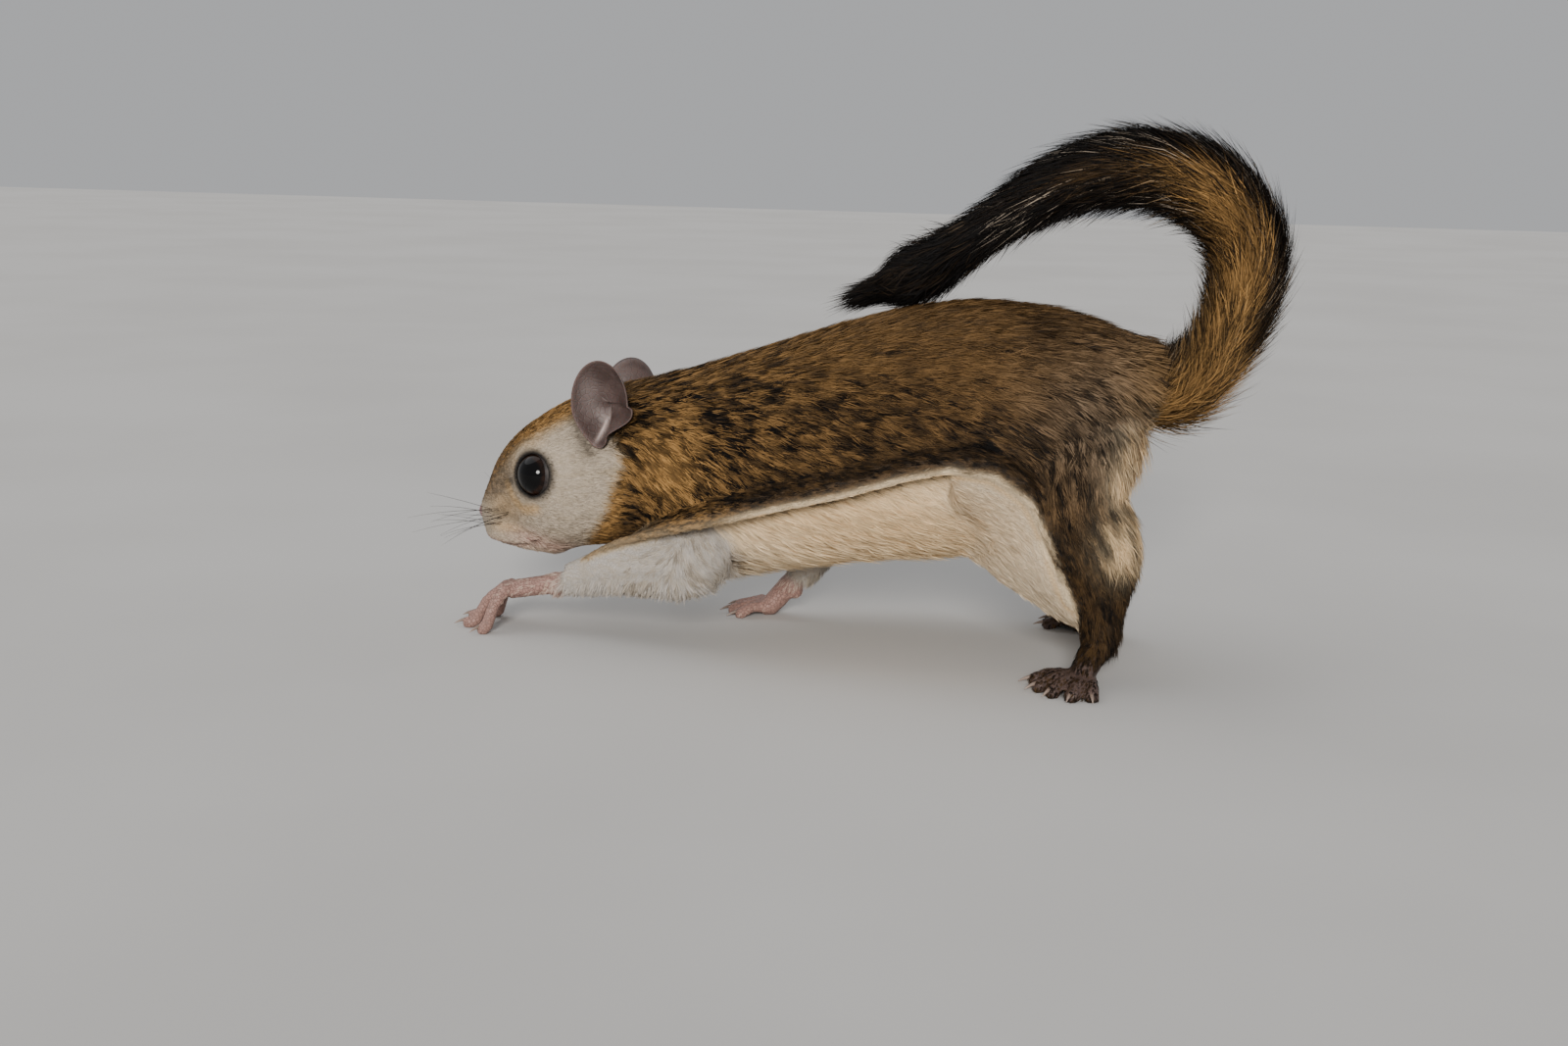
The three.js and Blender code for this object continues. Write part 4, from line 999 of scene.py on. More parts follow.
def place_hairs(name, slot, points, tufts, strand, hairs, marks):
    """Hairs joined into pieces that keep under the limit of triangles."""
    size = ribbon_points(marks)
    per_piece = PIECE_TRIANGLES // ((size - 2) * hairs) * hairs
    for number, start in enumerate(range(0, len(strand), per_piece), start=1):
        own = np.arange(start, min(start + per_piece, len(strand)))
        faces = ribbon_faces(len(own), marks)
        own_points = points[own[0] * size:(own[-1] + 1) * size]
        piece = build(f"{name}_{number}", own_points, faces, COAT_MATERIAL, slot)
        masks = np.repeat(tufts.masks[own // hairs], size, axis=0)
        tones = np.repeat(strand[own], size, axis=0)
        along = np.tile(along_hair(marks), len(own))
        add_field(piece, "marks", masks[:, :4])
        add_field(piece, "strand", np.column_stack([tones, along, masks[:, 4]]))
        places = bake_places(tufts.homes[own // hairs], own % hairs, hairs, marks)
        add_bake_map(piece, places[np.concatenate([part.ravel() for part in faces])])


# The brush of the tail
TAIL_MARKS = np.array((0.0, 0.28, 0.62, 1.0))
TAIL_TAPER = np.array((0.7, 1.0, 0.8))
TAIL_TUFTS = 7200
TAIL_HAIRS = 8
TAIL_HAIR_LENGTH = 17
TAIL_HAIR_BREADTH = 0.23
TAIL_GUARD_SHARE = 0.13
TAIL_FULL_WIDTH = 13


def tail_draws(random):
    """The places of the brush's tufts, and for each hair its root, length, bend, end and angle."""
    count = int(TAIL_TUFTS * TUFT_SHARE)
    total = count * TAIL_HAIRS
    tufts = SimpleNamespace(count=count)
    tufts.start = -4 + (TAIL_LENGTH - 1) * (np.arange(count) + random.random(count)) / count
    tufts.angle = 2 * math.pi * random.random(count)
    tufts.angle += 0.35 * np.sin(-2 * tufts.angle)
    tufts.tone = np.clip(0.5 + 0.3 * random.standard_normal(count), 0, 1)
    hair = SimpleNamespace(root=np.repeat(tufts.start, TAIL_HAIRS) + 1.2 * random.standard_normal(total))
    slim = np.clip(tail_at(hair.root + 8, "size")[:, 0] / TAIL_FULL_WIDTH, 0.35, 1)
    hair.length = (TAIL_HAIR_LENGTH + 4 * random.standard_normal(total)) * mixed(0.6, 1.0, slim)
    hair.bend = np.repeat(0.25 * random.standard_normal(count), TAIL_HAIRS)
    hair.bend += 0.1 * random.standard_normal(total)
    tufts.guard = random.random(count) < TAIL_GUARD_SHARE
    loose = np.repeat(0.24 * tufts.guard, TAIL_HAIRS)
    hair.end = np.clip(0.9 + 0.14 * random.standard_normal(total), 0.45, 1.2) + loose
    hair.angle = np.repeat(tufts.angle, TAIL_HAIRS) + 0.12 * random.standard_normal(total)
    return tufts, hair


def tail_paths(hair):
    """Paths from the core out to the brush's outline, their steps, and the ways across."""
    at_tip = ease(hair.root, TAIL_LENGTH - 42, TAIL_LENGTH - 10)
    under_base = (1 - ease(hair.root, 0, 20)) * ease(np.sin(hair.angle), 0.1, 0.8)
    end = hair.end * (1 + 1.3 * at_tip + 0.4 * under_base)
    s = TAIL_MARKS[None, :]
    distance = hair.root[:, None] + hair.length[:, None] * s
    share = mixed(TAIL_CORE * 0.8, end[:, None], s**0.72)
    paths = brush_place(distance, hair.angle[:, None] + hair.bend[:, None] * s**2, share)
    paths += tail_at(distance, "along") * np.minimum(0, distance)[..., None]
    step = unit(np.gradient(paths, axis=1))
    outward = unit(tail_at(distance, "side") * np.cos(hair.angle)[:, None, None]
                   + tail_at(distance, "out") * np.sin(hair.angle)[:, None, None])
    return paths, step, unit(np.cross(step, outward))


def tail_coat(skin):
    """The brush: long hairs over the tail's core, some of them dark guard hairs that reach further."""
    random = rng_for("coat_tail")
    tufts, hair = tail_draws(random)
    paths, step, across = tail_paths(hair)
    roll = 0.5 * random.standard_normal(len(paths))[:, None, None]
    broad = across * np.cos(roll) + np.cross(step, across) * np.sin(roll)
    breadth = TAIL_HAIR_BREADTH * (0.75 + 0.5 * random.random(len(paths)))
    points = ribbons(paths, broad[:, :-1], breadth, TAIL_TAPER)
    tufts.masks = tail_masks(tufts)
    tufts.homes = tail_homes(skin, tufts)
    strand = np.stack([np.repeat(tufts.tone, TAIL_HAIRS), random.random(len(paths))], -1)
    place_hairs("coat_tail", "tail_coat", points, tufts, strand, TAIL_HAIRS, TAIL_MARKS)


def outer_share(distance, angle):
    """How far to the outside of the tail's bend a place round it lies, from -1 to 1."""
    size = tail_at(distance, "size")
    outside = unit(np.cross((0.0, 1.0, 0.0), tail_at(distance, "along")))
    sideways = size[:, 0] * dot(tail_at(distance, "side"), outside)[:, 0]
    outward = size[:, 1] * dot(tail_at(distance, "out"), outside)[:, 0]
    return (sideways * np.cos(angle) + outward * np.sin(angle)) / np.hypot(sideways, outward)


def gold_band(distance, angle):
    """Gold down the underside, wide at the base, gone by the last third and weak along the outer edge."""
    middle = np.radians(np.interp(distance, (0, 40, 80, 110), (90, 110, 128, 132)))
    half = np.radians(np.interp(distance, (0, 22, 48, 70, 104), (150, 84, 50, 24, 4)))
    away = np.abs((angle - middle + math.pi) % (2 * math.pi) - math.pi)
    band = 1 - ease(away - half, -0.35, 0.35)
    fading = (1 - ease(distance, 80, 106)) * (1 - 0.72 * ease(distance, 46, 74))
    outer_edge = ease(outer_share(distance, angle), 0.55, 0.85) * ease(distance, 6, 20)
    return band * fading * (1 - 0.9 * outer_edge)


def tail_masks(tufts):
    """Gold down the underside, black fringes to both sides of it, pale flecks that are partly pale hairs and
    partly painted glints, and dark guard hairs.
    """
    distance, angle = tufts.start, tufts.angle
    upper_base = (1 - ease(distance, 4, 20)) * ease(-np.sin(angle), -0.1, 0.5)
    gold = gold_band(distance, angle) * (1 - 0.5 * upper_base)
    # pale flecks: partly pale hairs, partly painted glints on the black fringe
    fleck = (tufts.tone > 0.965) * (1 - gold) * (1 - ease(distance, 100, 120))
    dark = (1 - gold) * (1 - fleck) * (1 - 0.6 * upper_base)
    pale = 0.4 * fleck + 0.06 * gold * (1 - ease(distance, 10, 40))
    grey = np.maximum(0.4 * upper_base, 0.8 * fleck)
    dark = np.where(tufts.guard, np.maximum(dark, 0.8 * (pale < 0.1)), dark)
    gold = np.where(tufts.guard, 0.25 * gold, gold)
    return np.stack([pale, dark, gold, grey, np.zeros(tufts.count)], -1)


def tail_homes(skin, tufts):
    """Each tuft's home on the bake map: that of the nearest face of the tail's skin."""
    faces = np.flatnonzero(skin["part"][skin["quads"][:, 0]] == "tail")
    tree = BVHTree.FromPolygons([Vector(point) for point in skin["points"]], skin["quads"][faces].tolist())
    roots = brush_place(tufts.start, tufts.angle, np.full(tufts.count, TAIL_CORE))
    nearest = np.array([tree.find_nearest(Vector(point))[2] for point in roots])
    return skin["bake"][skin["corners"][faces[nearest], 0]]


# Shader nodes
def connect(tree, value, socket):
    """Links a socket, or sets a number or a colour."""
    if isinstance(value, bpy.types.NodeSocket):
        tree.links.new(value, socket)
    elif isinstance(value, (int, float)):
        socket.default_value = value
    else:
        socket.default_value = (*value, 1.0)


def new_group(name, inputs, outputs):
    group = bpy.data.node_groups.new(name, "ShaderNodeTree")
    for label, value in inputs.items():
        group.interface.new_socket(label, in_out="INPUT", socket_type="NodeSocketFloat").default_value = value
    for label, kind in outputs.items():
        group.interface.new_socket(label, in_out="OUTPUT", socket_type=kind)
    return group, group.nodes.new("NodeGroupInput"), group.nodes.new("NodeGroupOutput")


def place_group(tree, group, **values):
    node = tree.nodes.new("ShaderNodeGroup")
    node.node_tree = group
    for label, value in values.items():
        connect(tree, value, node.inputs[label])
    return node


def mix_colour(tree, factor, first, second):
    node = tree.nodes.new("ShaderNodeMix")
    node.data_type = "RGBA"
    for index, value in ((0, factor), (6, first), (7, second)):
        connect(tree, COLOUR[value] if isinstance(value, str) else value, node.inputs[index])
    return node.outputs[2]


def calculate(tree, operation, first, second):
    node = tree.nodes.new("ShaderNodeMath")
    node.operation = operation
    connect(tree, first, node.inputs[0])
    connect(tree, second, node.inputs[1])
    return node.outputs[0]


def stretch(tree, value, low, high, to_low=0.0, to_high=1.0):
    """Maps a range softly onto another."""
    node = tree.nodes.new("ShaderNodeMapRange")
    node.interpolation_type = "SMOOTHSTEP"
    connect(tree, value, node.inputs[0])
    for index, size in enumerate((low, high, to_low, to_high), start=1):
        node.inputs[index].default_value = size
    return node.outputs[0]


def noise(tree, scale, detail=3.0, stretch_by=None):
    coordinate = tree.nodes.new("ShaderNodeTexCoord").outputs["Object"]
    if stretch_by:
        mapping = tree.nodes.new("ShaderNodeMapping")
        tree.links.new(coordinate, mapping.inputs["Vector"])
        mapping.inputs["Scale"].default_value = stretch_by
        coordinate = mapping.outputs[0]
    node = tree.nodes.new("ShaderNodeTexNoise")
    node.inputs["Scale"].default_value = scale
    node.inputs["Detail"].default_value = detail
    tree.links.new(coordinate, node.inputs["Vector"])
    return node.outputs["Fac"]


def field_nodes(tree, name):
    """The four values of a colour attribute."""
    node = tree.nodes.new("ShaderNodeAttribute")
    node.attribute_name = name
    split = tree.nodes.new("ShaderNodeSeparateColor")
    tree.links.new(node.outputs["Color"], split.inputs["Color"])
    return split.outputs["Red"], split.outputs["Green"], split.outputs["Blue"], node.outputs["Alpha"]


def new_material(name, roughness, specular):
    material = bpy.data.materials.new(name)
    material.use_nodes = True
    tree = material.node_tree
    shader = tree.nodes["Principled BSDF"]
    shader.inputs["Roughness"].default_value = roughness
    shader.inputs["Specular IOR Level"].default_value = specular
    return material, tree, shader


def dark_coat(group, value):
    """The upper coat: black and brown under ochre or golden hair, silver on the haunch, ticked with black."""
    tone, ochre, along = value["Tone"], value["Ochre"], value["Along"]
    body = mix_colour(group, stretch(group, tone, 0.22, 0.48), "black", "brown")
    warm = mix_colour(group, ochre, "ochre", "golden")
    floor = stretch(group, ochre, 0.5, 1.0, 0.0, 0.4)
    bright = calculate(group, "MAXIMUM", stretch(group, tone, 0.36, 0.78), floor)
    bright = calculate(group, "MULTIPLY", bright, stretch(group, along, 0.1, 0.55, 0.2, 1.0))
    body = mix_colour(group, bright, body, warm)
    silver = mix_colour(group, stretch(group, tone, 0.35, 0.9), "charcoal", "silver")
    body = mix_colour(group, calculate(group, "MULTIPLY", value["Grey"], 0.7), body, silver)
    tip = stretch(group, along, 0.75, 1.0, 0.0, 0.6)
    ticking = calculate(group, "MULTIPLY", tip, stretch(group, ochre, 0.2, 0.9, 1.0, 0.1))
    return mix_colour(group, ticking, body, "black")


def pale_coat(group, value):
    """The colour of the pale coat: cream, pearl grey or buff, flecked with slate where it is grey."""
    tone = value["Tone"]
    pearl = mix_colour(group, stretch(group, tone, 0.2, 0.8), "cheek", "grey")
    light = mix_colour(group, value["Grey"], "cream", pearl)
    light = mix_colour(group, calculate(group, "MULTIPLY", value["Ochre"], 0.85), light, "buff")
    fleck = calculate(group, "MULTIPLY", stretch(group, tone, 0.1, 0.34, 0.4, 0.0), value["Grey"])
    return mix_colour(group, fleck, light, "slate")


def coat_shade(group, value):
    """Darker at the root of a hair, partly the darker underfur and partly painted shade deep in the coat;
    less so in pale hair, and a little different from hair to hair.
    """
    # painted shade towards the root, partly the darker underfur
    root = stretch(group, value["Along"], 0.0, 0.5, 1.0, 0.0)
    depth = stretch(group, value["Pale"], 0.0, 1.0, 0.5, 0.06)
    shade = calculate(group, "SUBTRACT", 1.0, calculate(group, "MULTIPLY", root, depth))
    return calculate(group, "MULTIPLY", shade, stretch(group, value["Hair"], 0.0, 1.0, 0.86, 1.14))


def coat_group():
    """The colour of the coat from its masks, the tone of the tuft and the place along the hair."""
    labels = ("Pale", "Dark", "Ochre", "Grey", "Tone", "Hair", "Along")
    inputs = dict.fromkeys(labels, 0.0)
    group, given, result = new_group("coat markings", inputs, {"Color": "NodeSocketColor"})
    value = {label: given.outputs[label] for label in labels}
    colour = mix_colour(group, value["Pale"], dark_coat(group, value), pale_coat(group, value))
    deep = mix_colour(group, stretch(group, value["Tone"], 0.6, 0.95, 0.0, 0.5), "black", "brown")
    colour = mix_colour(group, value["Dark"], colour, deep)
    scaled = group.nodes.new("ShaderNodeVectorMath")
    scaled.operation = "SCALE"
    group.links.new(colour, scaled.inputs[0])
    group.links.new(coat_shade(group, value), scaled.inputs["Scale"])
    group.links.new(scaled.outputs[0], result.inputs["Color"])
    return group


def crease_group():
    """Fine creases of bare skin as a normal, and where they lie as a mask for painted shade."""
    outputs = {"Normal": "NodeSocketVector", "Crease": "NodeSocketFloat"}
    group, given, result = new_group("skin creases", {"Size": 900.0, "Depth": 0.0002}, outputs)
    coordinate = group.nodes.new("ShaderNodeTexCoord").outputs["Object"]
    cells = group.nodes.new("ShaderNodeTexVoronoi")
    cells.feature = "DISTANCE_TO_EDGE"
    group.links.new(coordinate, cells.inputs["Vector"])
    group.links.new(given.outputs["Size"], cells.inputs["Scale"])
    crease = stretch(group, cells.outputs["Distance"], 0.0, 0.12)
    bump = group.nodes.new("ShaderNodeBump")
    bump.inputs["Strength"].default_value = 0.6
    group.links.new(given.outputs["Depth"], bump.inputs["Distance"])
    group.links.new(crease, bump.inputs["Height"])
    group.links.new(bump.outputs["Normal"], result.inputs["Normal"])
    group.links.new(crease, result.inputs["Crease"])
    return group


COAT_GROUP = coat_group()
CREASE_GROUP = crease_group()


# Materials
def marked_colour(tree, tone, hair, along):
    """The coat's colour where the material stands, and how pale the coat is there."""
    pale, dark, ochre, grey = field_nodes(tree, "marks")
    marks = place_group(
        tree, COAT_GROUP, Pale=pale, Dark=dark, Ochre=ochre, Grey=grey, Tone=tone, Hair=hair, Along=along)
    return marks.outputs["Color"], pale


def coat_material():
    material, tree, shader = new_material("coat hair", 0.6, 0.07)
    tone, hair, along, bare = field_nodes(tree, "strand")
    colour, pale = marked_colour(tree, tone, hair, along)
    lips = calculate(tree, "MULTIPLY", calculate(tree, "MULTIPLY", bare, pale), 0.7)
    connect(tree, mix_colour(tree, lips, colour, "lip"), shader.inputs["Base Color"])
    return material


COAT_MATERIAL = coat_material()


def skin_material():
    """The skin under the coat, which carries its markings, and the bare skin of paws and lips, with painted
    shade in its creases.
    """
    material, tree, shader = new_material("skin", 0.6, 0.3)
    bare, light_paw, _, _ = field_nodes(tree, "skin")
    tone = stretch(tree, noise(tree, 900, stretch_by=(0.35, 1.0, 1.0)), 0.35, 0.65, 0.4, 0.75)
    colour, _ = marked_colour(tree, tone, 0.4, 0.45)
    folds = place_group(tree, CREASE_GROUP, Size=1300.0, Depth=0.0003)
    flesh = mix_colour(tree, light_paw, "mauve", "pink")
    # painted shade: the creases of bare skin are darkened towards slate
    flesh = mix_colour(tree, stretch(tree, folds.outputs["Crease"], 0.0, 1.0, 0.4, 0.0), flesh, "slate")
    connect(tree, mix_colour(tree, bare, colour, flesh), shader.inputs["Base Color"])
    connect(tree, folds.outputs["Normal"], shader.inputs["Normal"])
    connect(tree, stretch(tree, bare, 0.0, 1.0, 0.75, 0.5), shader.inputs["Roughness"])
    return material


def eye_material():
    """A dark brown iris that is nearly all pupil, under a wet clear cornea."""
    material, tree, shader = new_material("eye", 0.03, 0.2)
    gaze, _, _, _ = field_nodes(tree, "gaze")
    fibres = stretch(tree, noise(tree, 700, 4.0), 0.3, 0.7)
    iris = mix_colour(tree, fibres, "iris_dark", "iris_light")
    colour = mix_colour(tree, stretch(tree, gaze, 0.66, 0.78), iris, "pupil")
    connect(tree, colour, shader.inputs["Base Color"])
    return material


def lid_material():
    """Dark naked lids, browner and paler away from the eye."""
    material, tree, shader = new_material("eye lid", 0.55, 0.3)
    edge, _, _, _ = field_nodes(tree, "lid")
    mottle = stretch(tree, noise(tree, 1600), 0.3, 0.7)
    inner = mix_colour(tree, mottle, "lid_edge_dark", "lid_edge_light")
    outer = mix_colour(tree, mottle, "lid_dark", "lid_light")
    connect(tree, mix_colour(tree, edge, inner, outer), shader.inputs["Base Color"])
    return material


def ear_material():
    """Thin mauve skin with soft patches, paler at the front of the cup and at the rim, with a painted
    highlight along its folds.
    """
    material, tree, shader = new_material("ear skin", 0.5, 0.3)
    shader.inputs["Subsurface Weight"].default_value = 0.15
    shader.inputs["Subsurface Scale"].default_value = 0.001
    rim, fold, front, _ = field_nodes(tree, "ear")
    colour = mix_colour(tree, stretch(tree, noise(tree, 220), 0.35, 0.7), "ear_dark", "ear_light")
    colour = mix_colour(tree, calculate(tree, "MULTIPLY", front, 0.5), colour, "ear_front")
    # a painted highlight along the folds
    colour = mix_colour(tree, fold, colour, "ear_fold_highlight")
    colour = mix_colour(tree, calculate(tree, "MULTIPLY", rim, 0.45), colour, "ear_rim")
    folds = place_group(tree, CREASE_GROUP, Size=700.0, Depth=0.00012)
    connect(tree, colour, shader.inputs["Base Color"])
    connect(tree, folds.outputs["Normal"], shader.inputs["Normal"])
    return material


def nose_material():
    """Moist pink skin with painted shade in its fine creases, and the openings of the nostrils painted dark
    as shade.
    """
    material, tree, shader = new_material("nose skin", 0.42, 0.45)
    hollow, _, _, _ = field_nodes(tree, "nose")
    folds = place_group(tree, CREASE_GROUP, Size=2200.0, Depth=0.0004)
    # painted shade in the creases
    colour = mix_colour(tree, folds.outputs["Crease"], "nose_crease_shade", "nose")
    # the openings of the nostrils are painted dark as shade
    connect(tree, mix_colour(tree, hollow, colour, "nostril_shade"), shader.inputs["Base Color"])
    connect(tree, folds.outputs["Normal"], shader.inputs["Normal"])
    return material


def claw_material():
    material, tree, shader = new_material("claw horn", 0.32, 0.5)
    tip, _, _, _ = field_nodes(tree, "claw")
    grain = stretch(tree, noise(tree, 1500, stretch_by=(1, 1, 4)), 0.3, 0.7, 0.7, 1.0)
    horn = mix_colour(tree, tip, "claw_root", "claw_tip")
    connect(tree, mix_colour(tree, grain, "claw_grain", horn), shader.inputs["Base Color"])
    return material


def mottled_material(name, roughness, specular, scale, detail, colours):
    material, tree, shader = new_material(name, roughness, specular)
    mottle = stretch(tree, noise(tree, scale, detail), 0.3, 0.7)
    connect(tree, mix_colour(tree, mottle, *colours), shader.inputs["Base Color"])
    return material


# Eyes and lids
EYE_GRID = (40, 64)
CORNEA = 0.03
LID_GRID = (22, 96)
LID_OPENING = (math.radians(52), math.radians(60))
LID_REACH = math.radians(34)
LID_THICKNESS = 0.42
LID_EDGE = 0.1


def basis(axis):
    """An axis and two directions square to it, the first level."""
    axis = unit(np.array(axis, float))
    level = unit(np.cross((0.0, 0.0, 1.0), axis))
    return axis, level, np.cross(axis, level)


def round_grid(rows, columns):
    """Angles from an axis, a row of each, and round it."""
    tilt = np.repeat(np.linspace(0, math.pi, rows + 2)[1:-1], columns)
    turn = np.tile(np.linspace(0, 2 * math.pi, columns, endpoint=False), rows)
    return tilt, turn


def ways_about(axes, tilt, turn):
    axis, level, upright = axes
    return (np.cos(tilt)[:, None] * axis + (np.sin(tilt) * np.cos(turn))[:, None] * level
            + (np.sin(tilt) * np.sin(turn))[:, None] * upright)


def make_eye(name, side, material):
    """A ball whose cornea bulges a little round its axis."""
    axes = basis(mirrored(EYE_WAY, side))
    axis = axes[0]
    tilt, turn = round_grid(*EYE_GRID)
    bulge = 1 + CORNEA * bell(tilt, 0.75)
    middle = mirrored(EYE_MIDDLE, side)
    points = middle + ways_about(axes, tilt, turn) * (EYE_RADIUS * bulge)[:, None]
    front, back = middle + axis * EYE_RADIUS * (1 + CORNEA), middle - axis * EYE_RADIUS
    points, faces = closed_grid(EYE_GRID[0], points, front, back)
    eye = build(f"eye_ball_{name}", points, faces, material, "eye")
    gaze = np.clip(unit(points - middle) @ axis, 0, 1)
    add_field(eye, "gaze", gaze[:, None])
    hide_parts(f"eye_{name}")


def make_lid(name, side, material):
    """A rounded ring of skin that lies on the ball and leaves an upright oval open."""
    rows, columns = LID_GRID
    turn = np.tile(np.linspace(0, 2 * math.pi, columns, endpoint=False), rows)
    s = np.repeat(np.linspace(0, 1, rows), columns)
    reach = 1 - np.abs(2 * s - 1)
    wide, high = LID_OPENING
    opening = 1 / np.hypot(np.cos(turn) / wide, np.sin(turn) / high)
    swell = np.where(s < 0.5, ease(s, 0.0, 0.12) * np.sqrt(np.maximum(0, np.sin(np.pi * reach))), 0)
    height = EYE_RADIUS * 1.01 + LID_THICKNESS * np.maximum(LID_EDGE, swell)
    ways = ways_about(basis(mirrored(EYE_WAY, side)), opening + LID_REACH * reach, turn)
    points = mirrored(EYE_MIDDLE, side) + ways * height[:, None]
    lid = build(f"eye_lid_{name}", points, [grid_faces(rows, columns)], material, "face_coat")
    add_field(lid, "lid", ease(reach, 0.1, 0.6)[:, None])


# Ears
EAR_COLUMNS = 96
EAR_FRONT_ROWS, EAR_BACK_ROWS = 30, 23
EAR_CUP = 4.4
EAR_LOW_CUP = 1.4
EAR_CURL = 2.4
LOBE_TURN, NOTCH_TURN = 6.0, 5.45


def ear_axes(side):
    """The ear's ways towards the rear, up and out of its hollow."""
    turn = math.radians(EAR_TURNS[side])
    rear = np.array((math.cos(turn), side * math.sin(turn), 0.0))
    face = np.array((-math.sin(turn), side * math.cos(turn), 0.0))
    return rear, unit(np.array((0.0, side * 0.05, 1.0))), face


def ear_place(side, share, turn, behind):
    """A place of the leaf, by share of its reach, angle round it and depth behind its hollow face."""
    across, up = np.cos(turn), np.sin(turn)
    low = np.maximum(0, -up)
    lobe = 1 + 0.25 * bell(turn - LOBE_TURN, 0.35) - 0.5 * bell(turn - NOTCH_TURN, 0.35)
    wide = EAR_WIDTH / 2 * share * across * (1 - 0.42 * low**2) * lobe
    high = EAR_LENGTH / 2 * (1 + share * up)
    hollow = EAR_CUP * (1 - share**2) + EAR_LOW_CUP * low * (1 - share)
    curl = EAR_CURL * share**3 * (0.45 * low + 0.25 * across**2)
    rear, lift, face = ear_axes(side)
    return (np.array(EAR_ROOTS[side]) + wide[:, None] * rear + high[:, None] * lift
            + (curl - hollow - behind)[:, None] * face)


def ear_relief(share, turn):
    """Low folds inside the ear: a ridge up from the notch, a short one across its head, and soft veins."""
    u, v = share * np.cos(turn), share * np.sin(turn)
    ridge = 0.8 * bell(u + 0.2 - 0.42 * (v + 0.75), 0.1) * bell(v + 0.6, 0.26)
    cross_ridge = 0.38 * bell(v + 0.36 + 0.5 * (u + 0.2), 0.14) * bell(u + 0.2, 0.2)
    veins = 0.08 * np.sin(9 * turn + 3 * share) * share * (1 - share)
    rolled_rim = 0.35 * bell(share - 0.97, 0.05)
    return ridge, cross_ridge, veins + rolled_rim


def ear_marks(shares, turn, front, ridge, cross_ridge):
    """Masks of the rim, the painted highlight along the folds and the paler front of the cup."""
    rim = ease(shares, 0.86, 1.0)
    # where the painted highlight lies along the folds
    fold = np.clip(1.3 * ridge + 0.8 * cross_ridge, 0, 1) * front
    cup_front = bell(shares * np.cos(turn) + 0.6, 0.3) * bell(shares * np.sin(turn) - 0.25, 0.5)
    return np.vstack([np.stack([rim, fold, cup_front], -1), np.zeros((2, 3))])


def make_ear(name, side, material):
    """A cupped leaf: rows from the middle out over its hollow face, and back in behind."""
    out = np.linspace(0.04, 1.0, EAR_FRONT_ROWS)
    back = np.linspace(1.0, 0.04, EAR_BACK_ROWS + 1)[1:]
    rows = EAR_FRONT_ROWS + EAR_BACK_ROWS
    shares = np.repeat(np.concatenate([out, back]), EAR_COLUMNS)
    turn = np.tile(np.linspace(0, 2 * math.pi, EAR_COLUMNS, endpoint=False), rows)
    front = np.repeat(np.arange(rows) < EAR_FRONT_ROWS, EAR_COLUMNS)
    ridge, cross_ridge, soft = ear_relief(shares, turn)
    wall = EAR_WALL * (0.55 + 0.45 * (1 - shares**6))
    points = ear_place(side, shares, turn, np.where(front, -(ridge + cross_ridge + soft), wall))
    ends = ear_place(side, np.zeros(2), np.zeros(2), np.array((0.0, EAR_WALL)))
    ear = build(f"ear_leaf_{name}", *closed_grid(rows, points, *ends), material, "ear_skin")
    if side == LEFT:
        ear.data.flip_normals()
    add_field(ear, "ear", ear_marks(shares, turn, front, ridge, cross_ridge))
    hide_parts(f"ear_{name}")


# Nose
NOSE_GRID = (36, 48)
NOSE_SIZE = (2.2, 2.7, 2.3)
NOSE_LEAN = 25
NOSTRIL_DEPTH, CLEFT_DEPTH = 0.3, 0.12


def nostrils(way):
    """Round openings and the slit that runs back from each."""
    hollow = np.zeros(len(way))
    for _, side in SIDES:
        opening = (way - (-0.72, side * 0.62, -0.1)) * (1, 1.5, 1)
        slit = (way - (-0.5, side * 0.85, -0.02)) * (0.8, 1, 2.2)
        hollow = np.maximum(hollow, bell(np.linalg.norm(opening, axis=1), 0.3))
        hollow = np.maximum(hollow, 0.8 * bell(np.linalg.norm(slit, axis=1), 0.3))
    return hollow


def make_nose(material):
    rows, columns = NOSE_GRID
    tilt, turn = round_grid(rows, columns)
    way = np.stack([-np.cos(tilt), np.sin(tilt) * np.cos(turn), np.sin(tilt) * np.sin(turn)], -1)
    hollow = nostrils(way)
    cleft = bell(way[:, 1], 0.1) * ease(-way[:, 0], 0.1, 0.5) * ease(-way[:, 2], -0.5, 0.2)
    points = way * NOSE_SIZE * (1 - NOSTRIL_DEPTH * hollow - CLEFT_DEPTH * cleft)[:, None]
    lean = Matrix.Rotation(math.radians(NOSE_LEAN), 3, "Y")
    points = points @ np.array(lean).T + np.array(NOSE_MIDDLE)
    points, faces = closed_grid(rows, points, points[:columns].mean(0), points[-columns:].mean(0))
    nose = build("nose_pad", points, faces, material, "nose_skin")
    add_field(nose, "nose", np.append(hollow, (0, 0))[:, None])
    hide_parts("nose")


# Claws and whiskers
CLAW_RINGS, CLAW_SIDES = 14, 10
CLAW_ROOT, CLAW_GIRTH, CLAW_HOOK = 2.4, 0.6, 0.5
CLAW_TIP_GIRTH = 0.06
CLAWS = {"fore": 4, "hind": 5}
WHISKER_ROOTS = ((-70.6, 28.2), (-70.8, 26.6), (-70, 24.8), (-68.2, 28.6), (-67.6, 26.8), (-66.8, 25),
                 (-65.2, 27.6))
WHISKERS_A_ROOT = 2
WHISKER_GIRTH, WHISKER_TIP_GIRTH = 0.075, 0.014
WHISKER_RINGS, WHISKER_SIDES = 14, 5


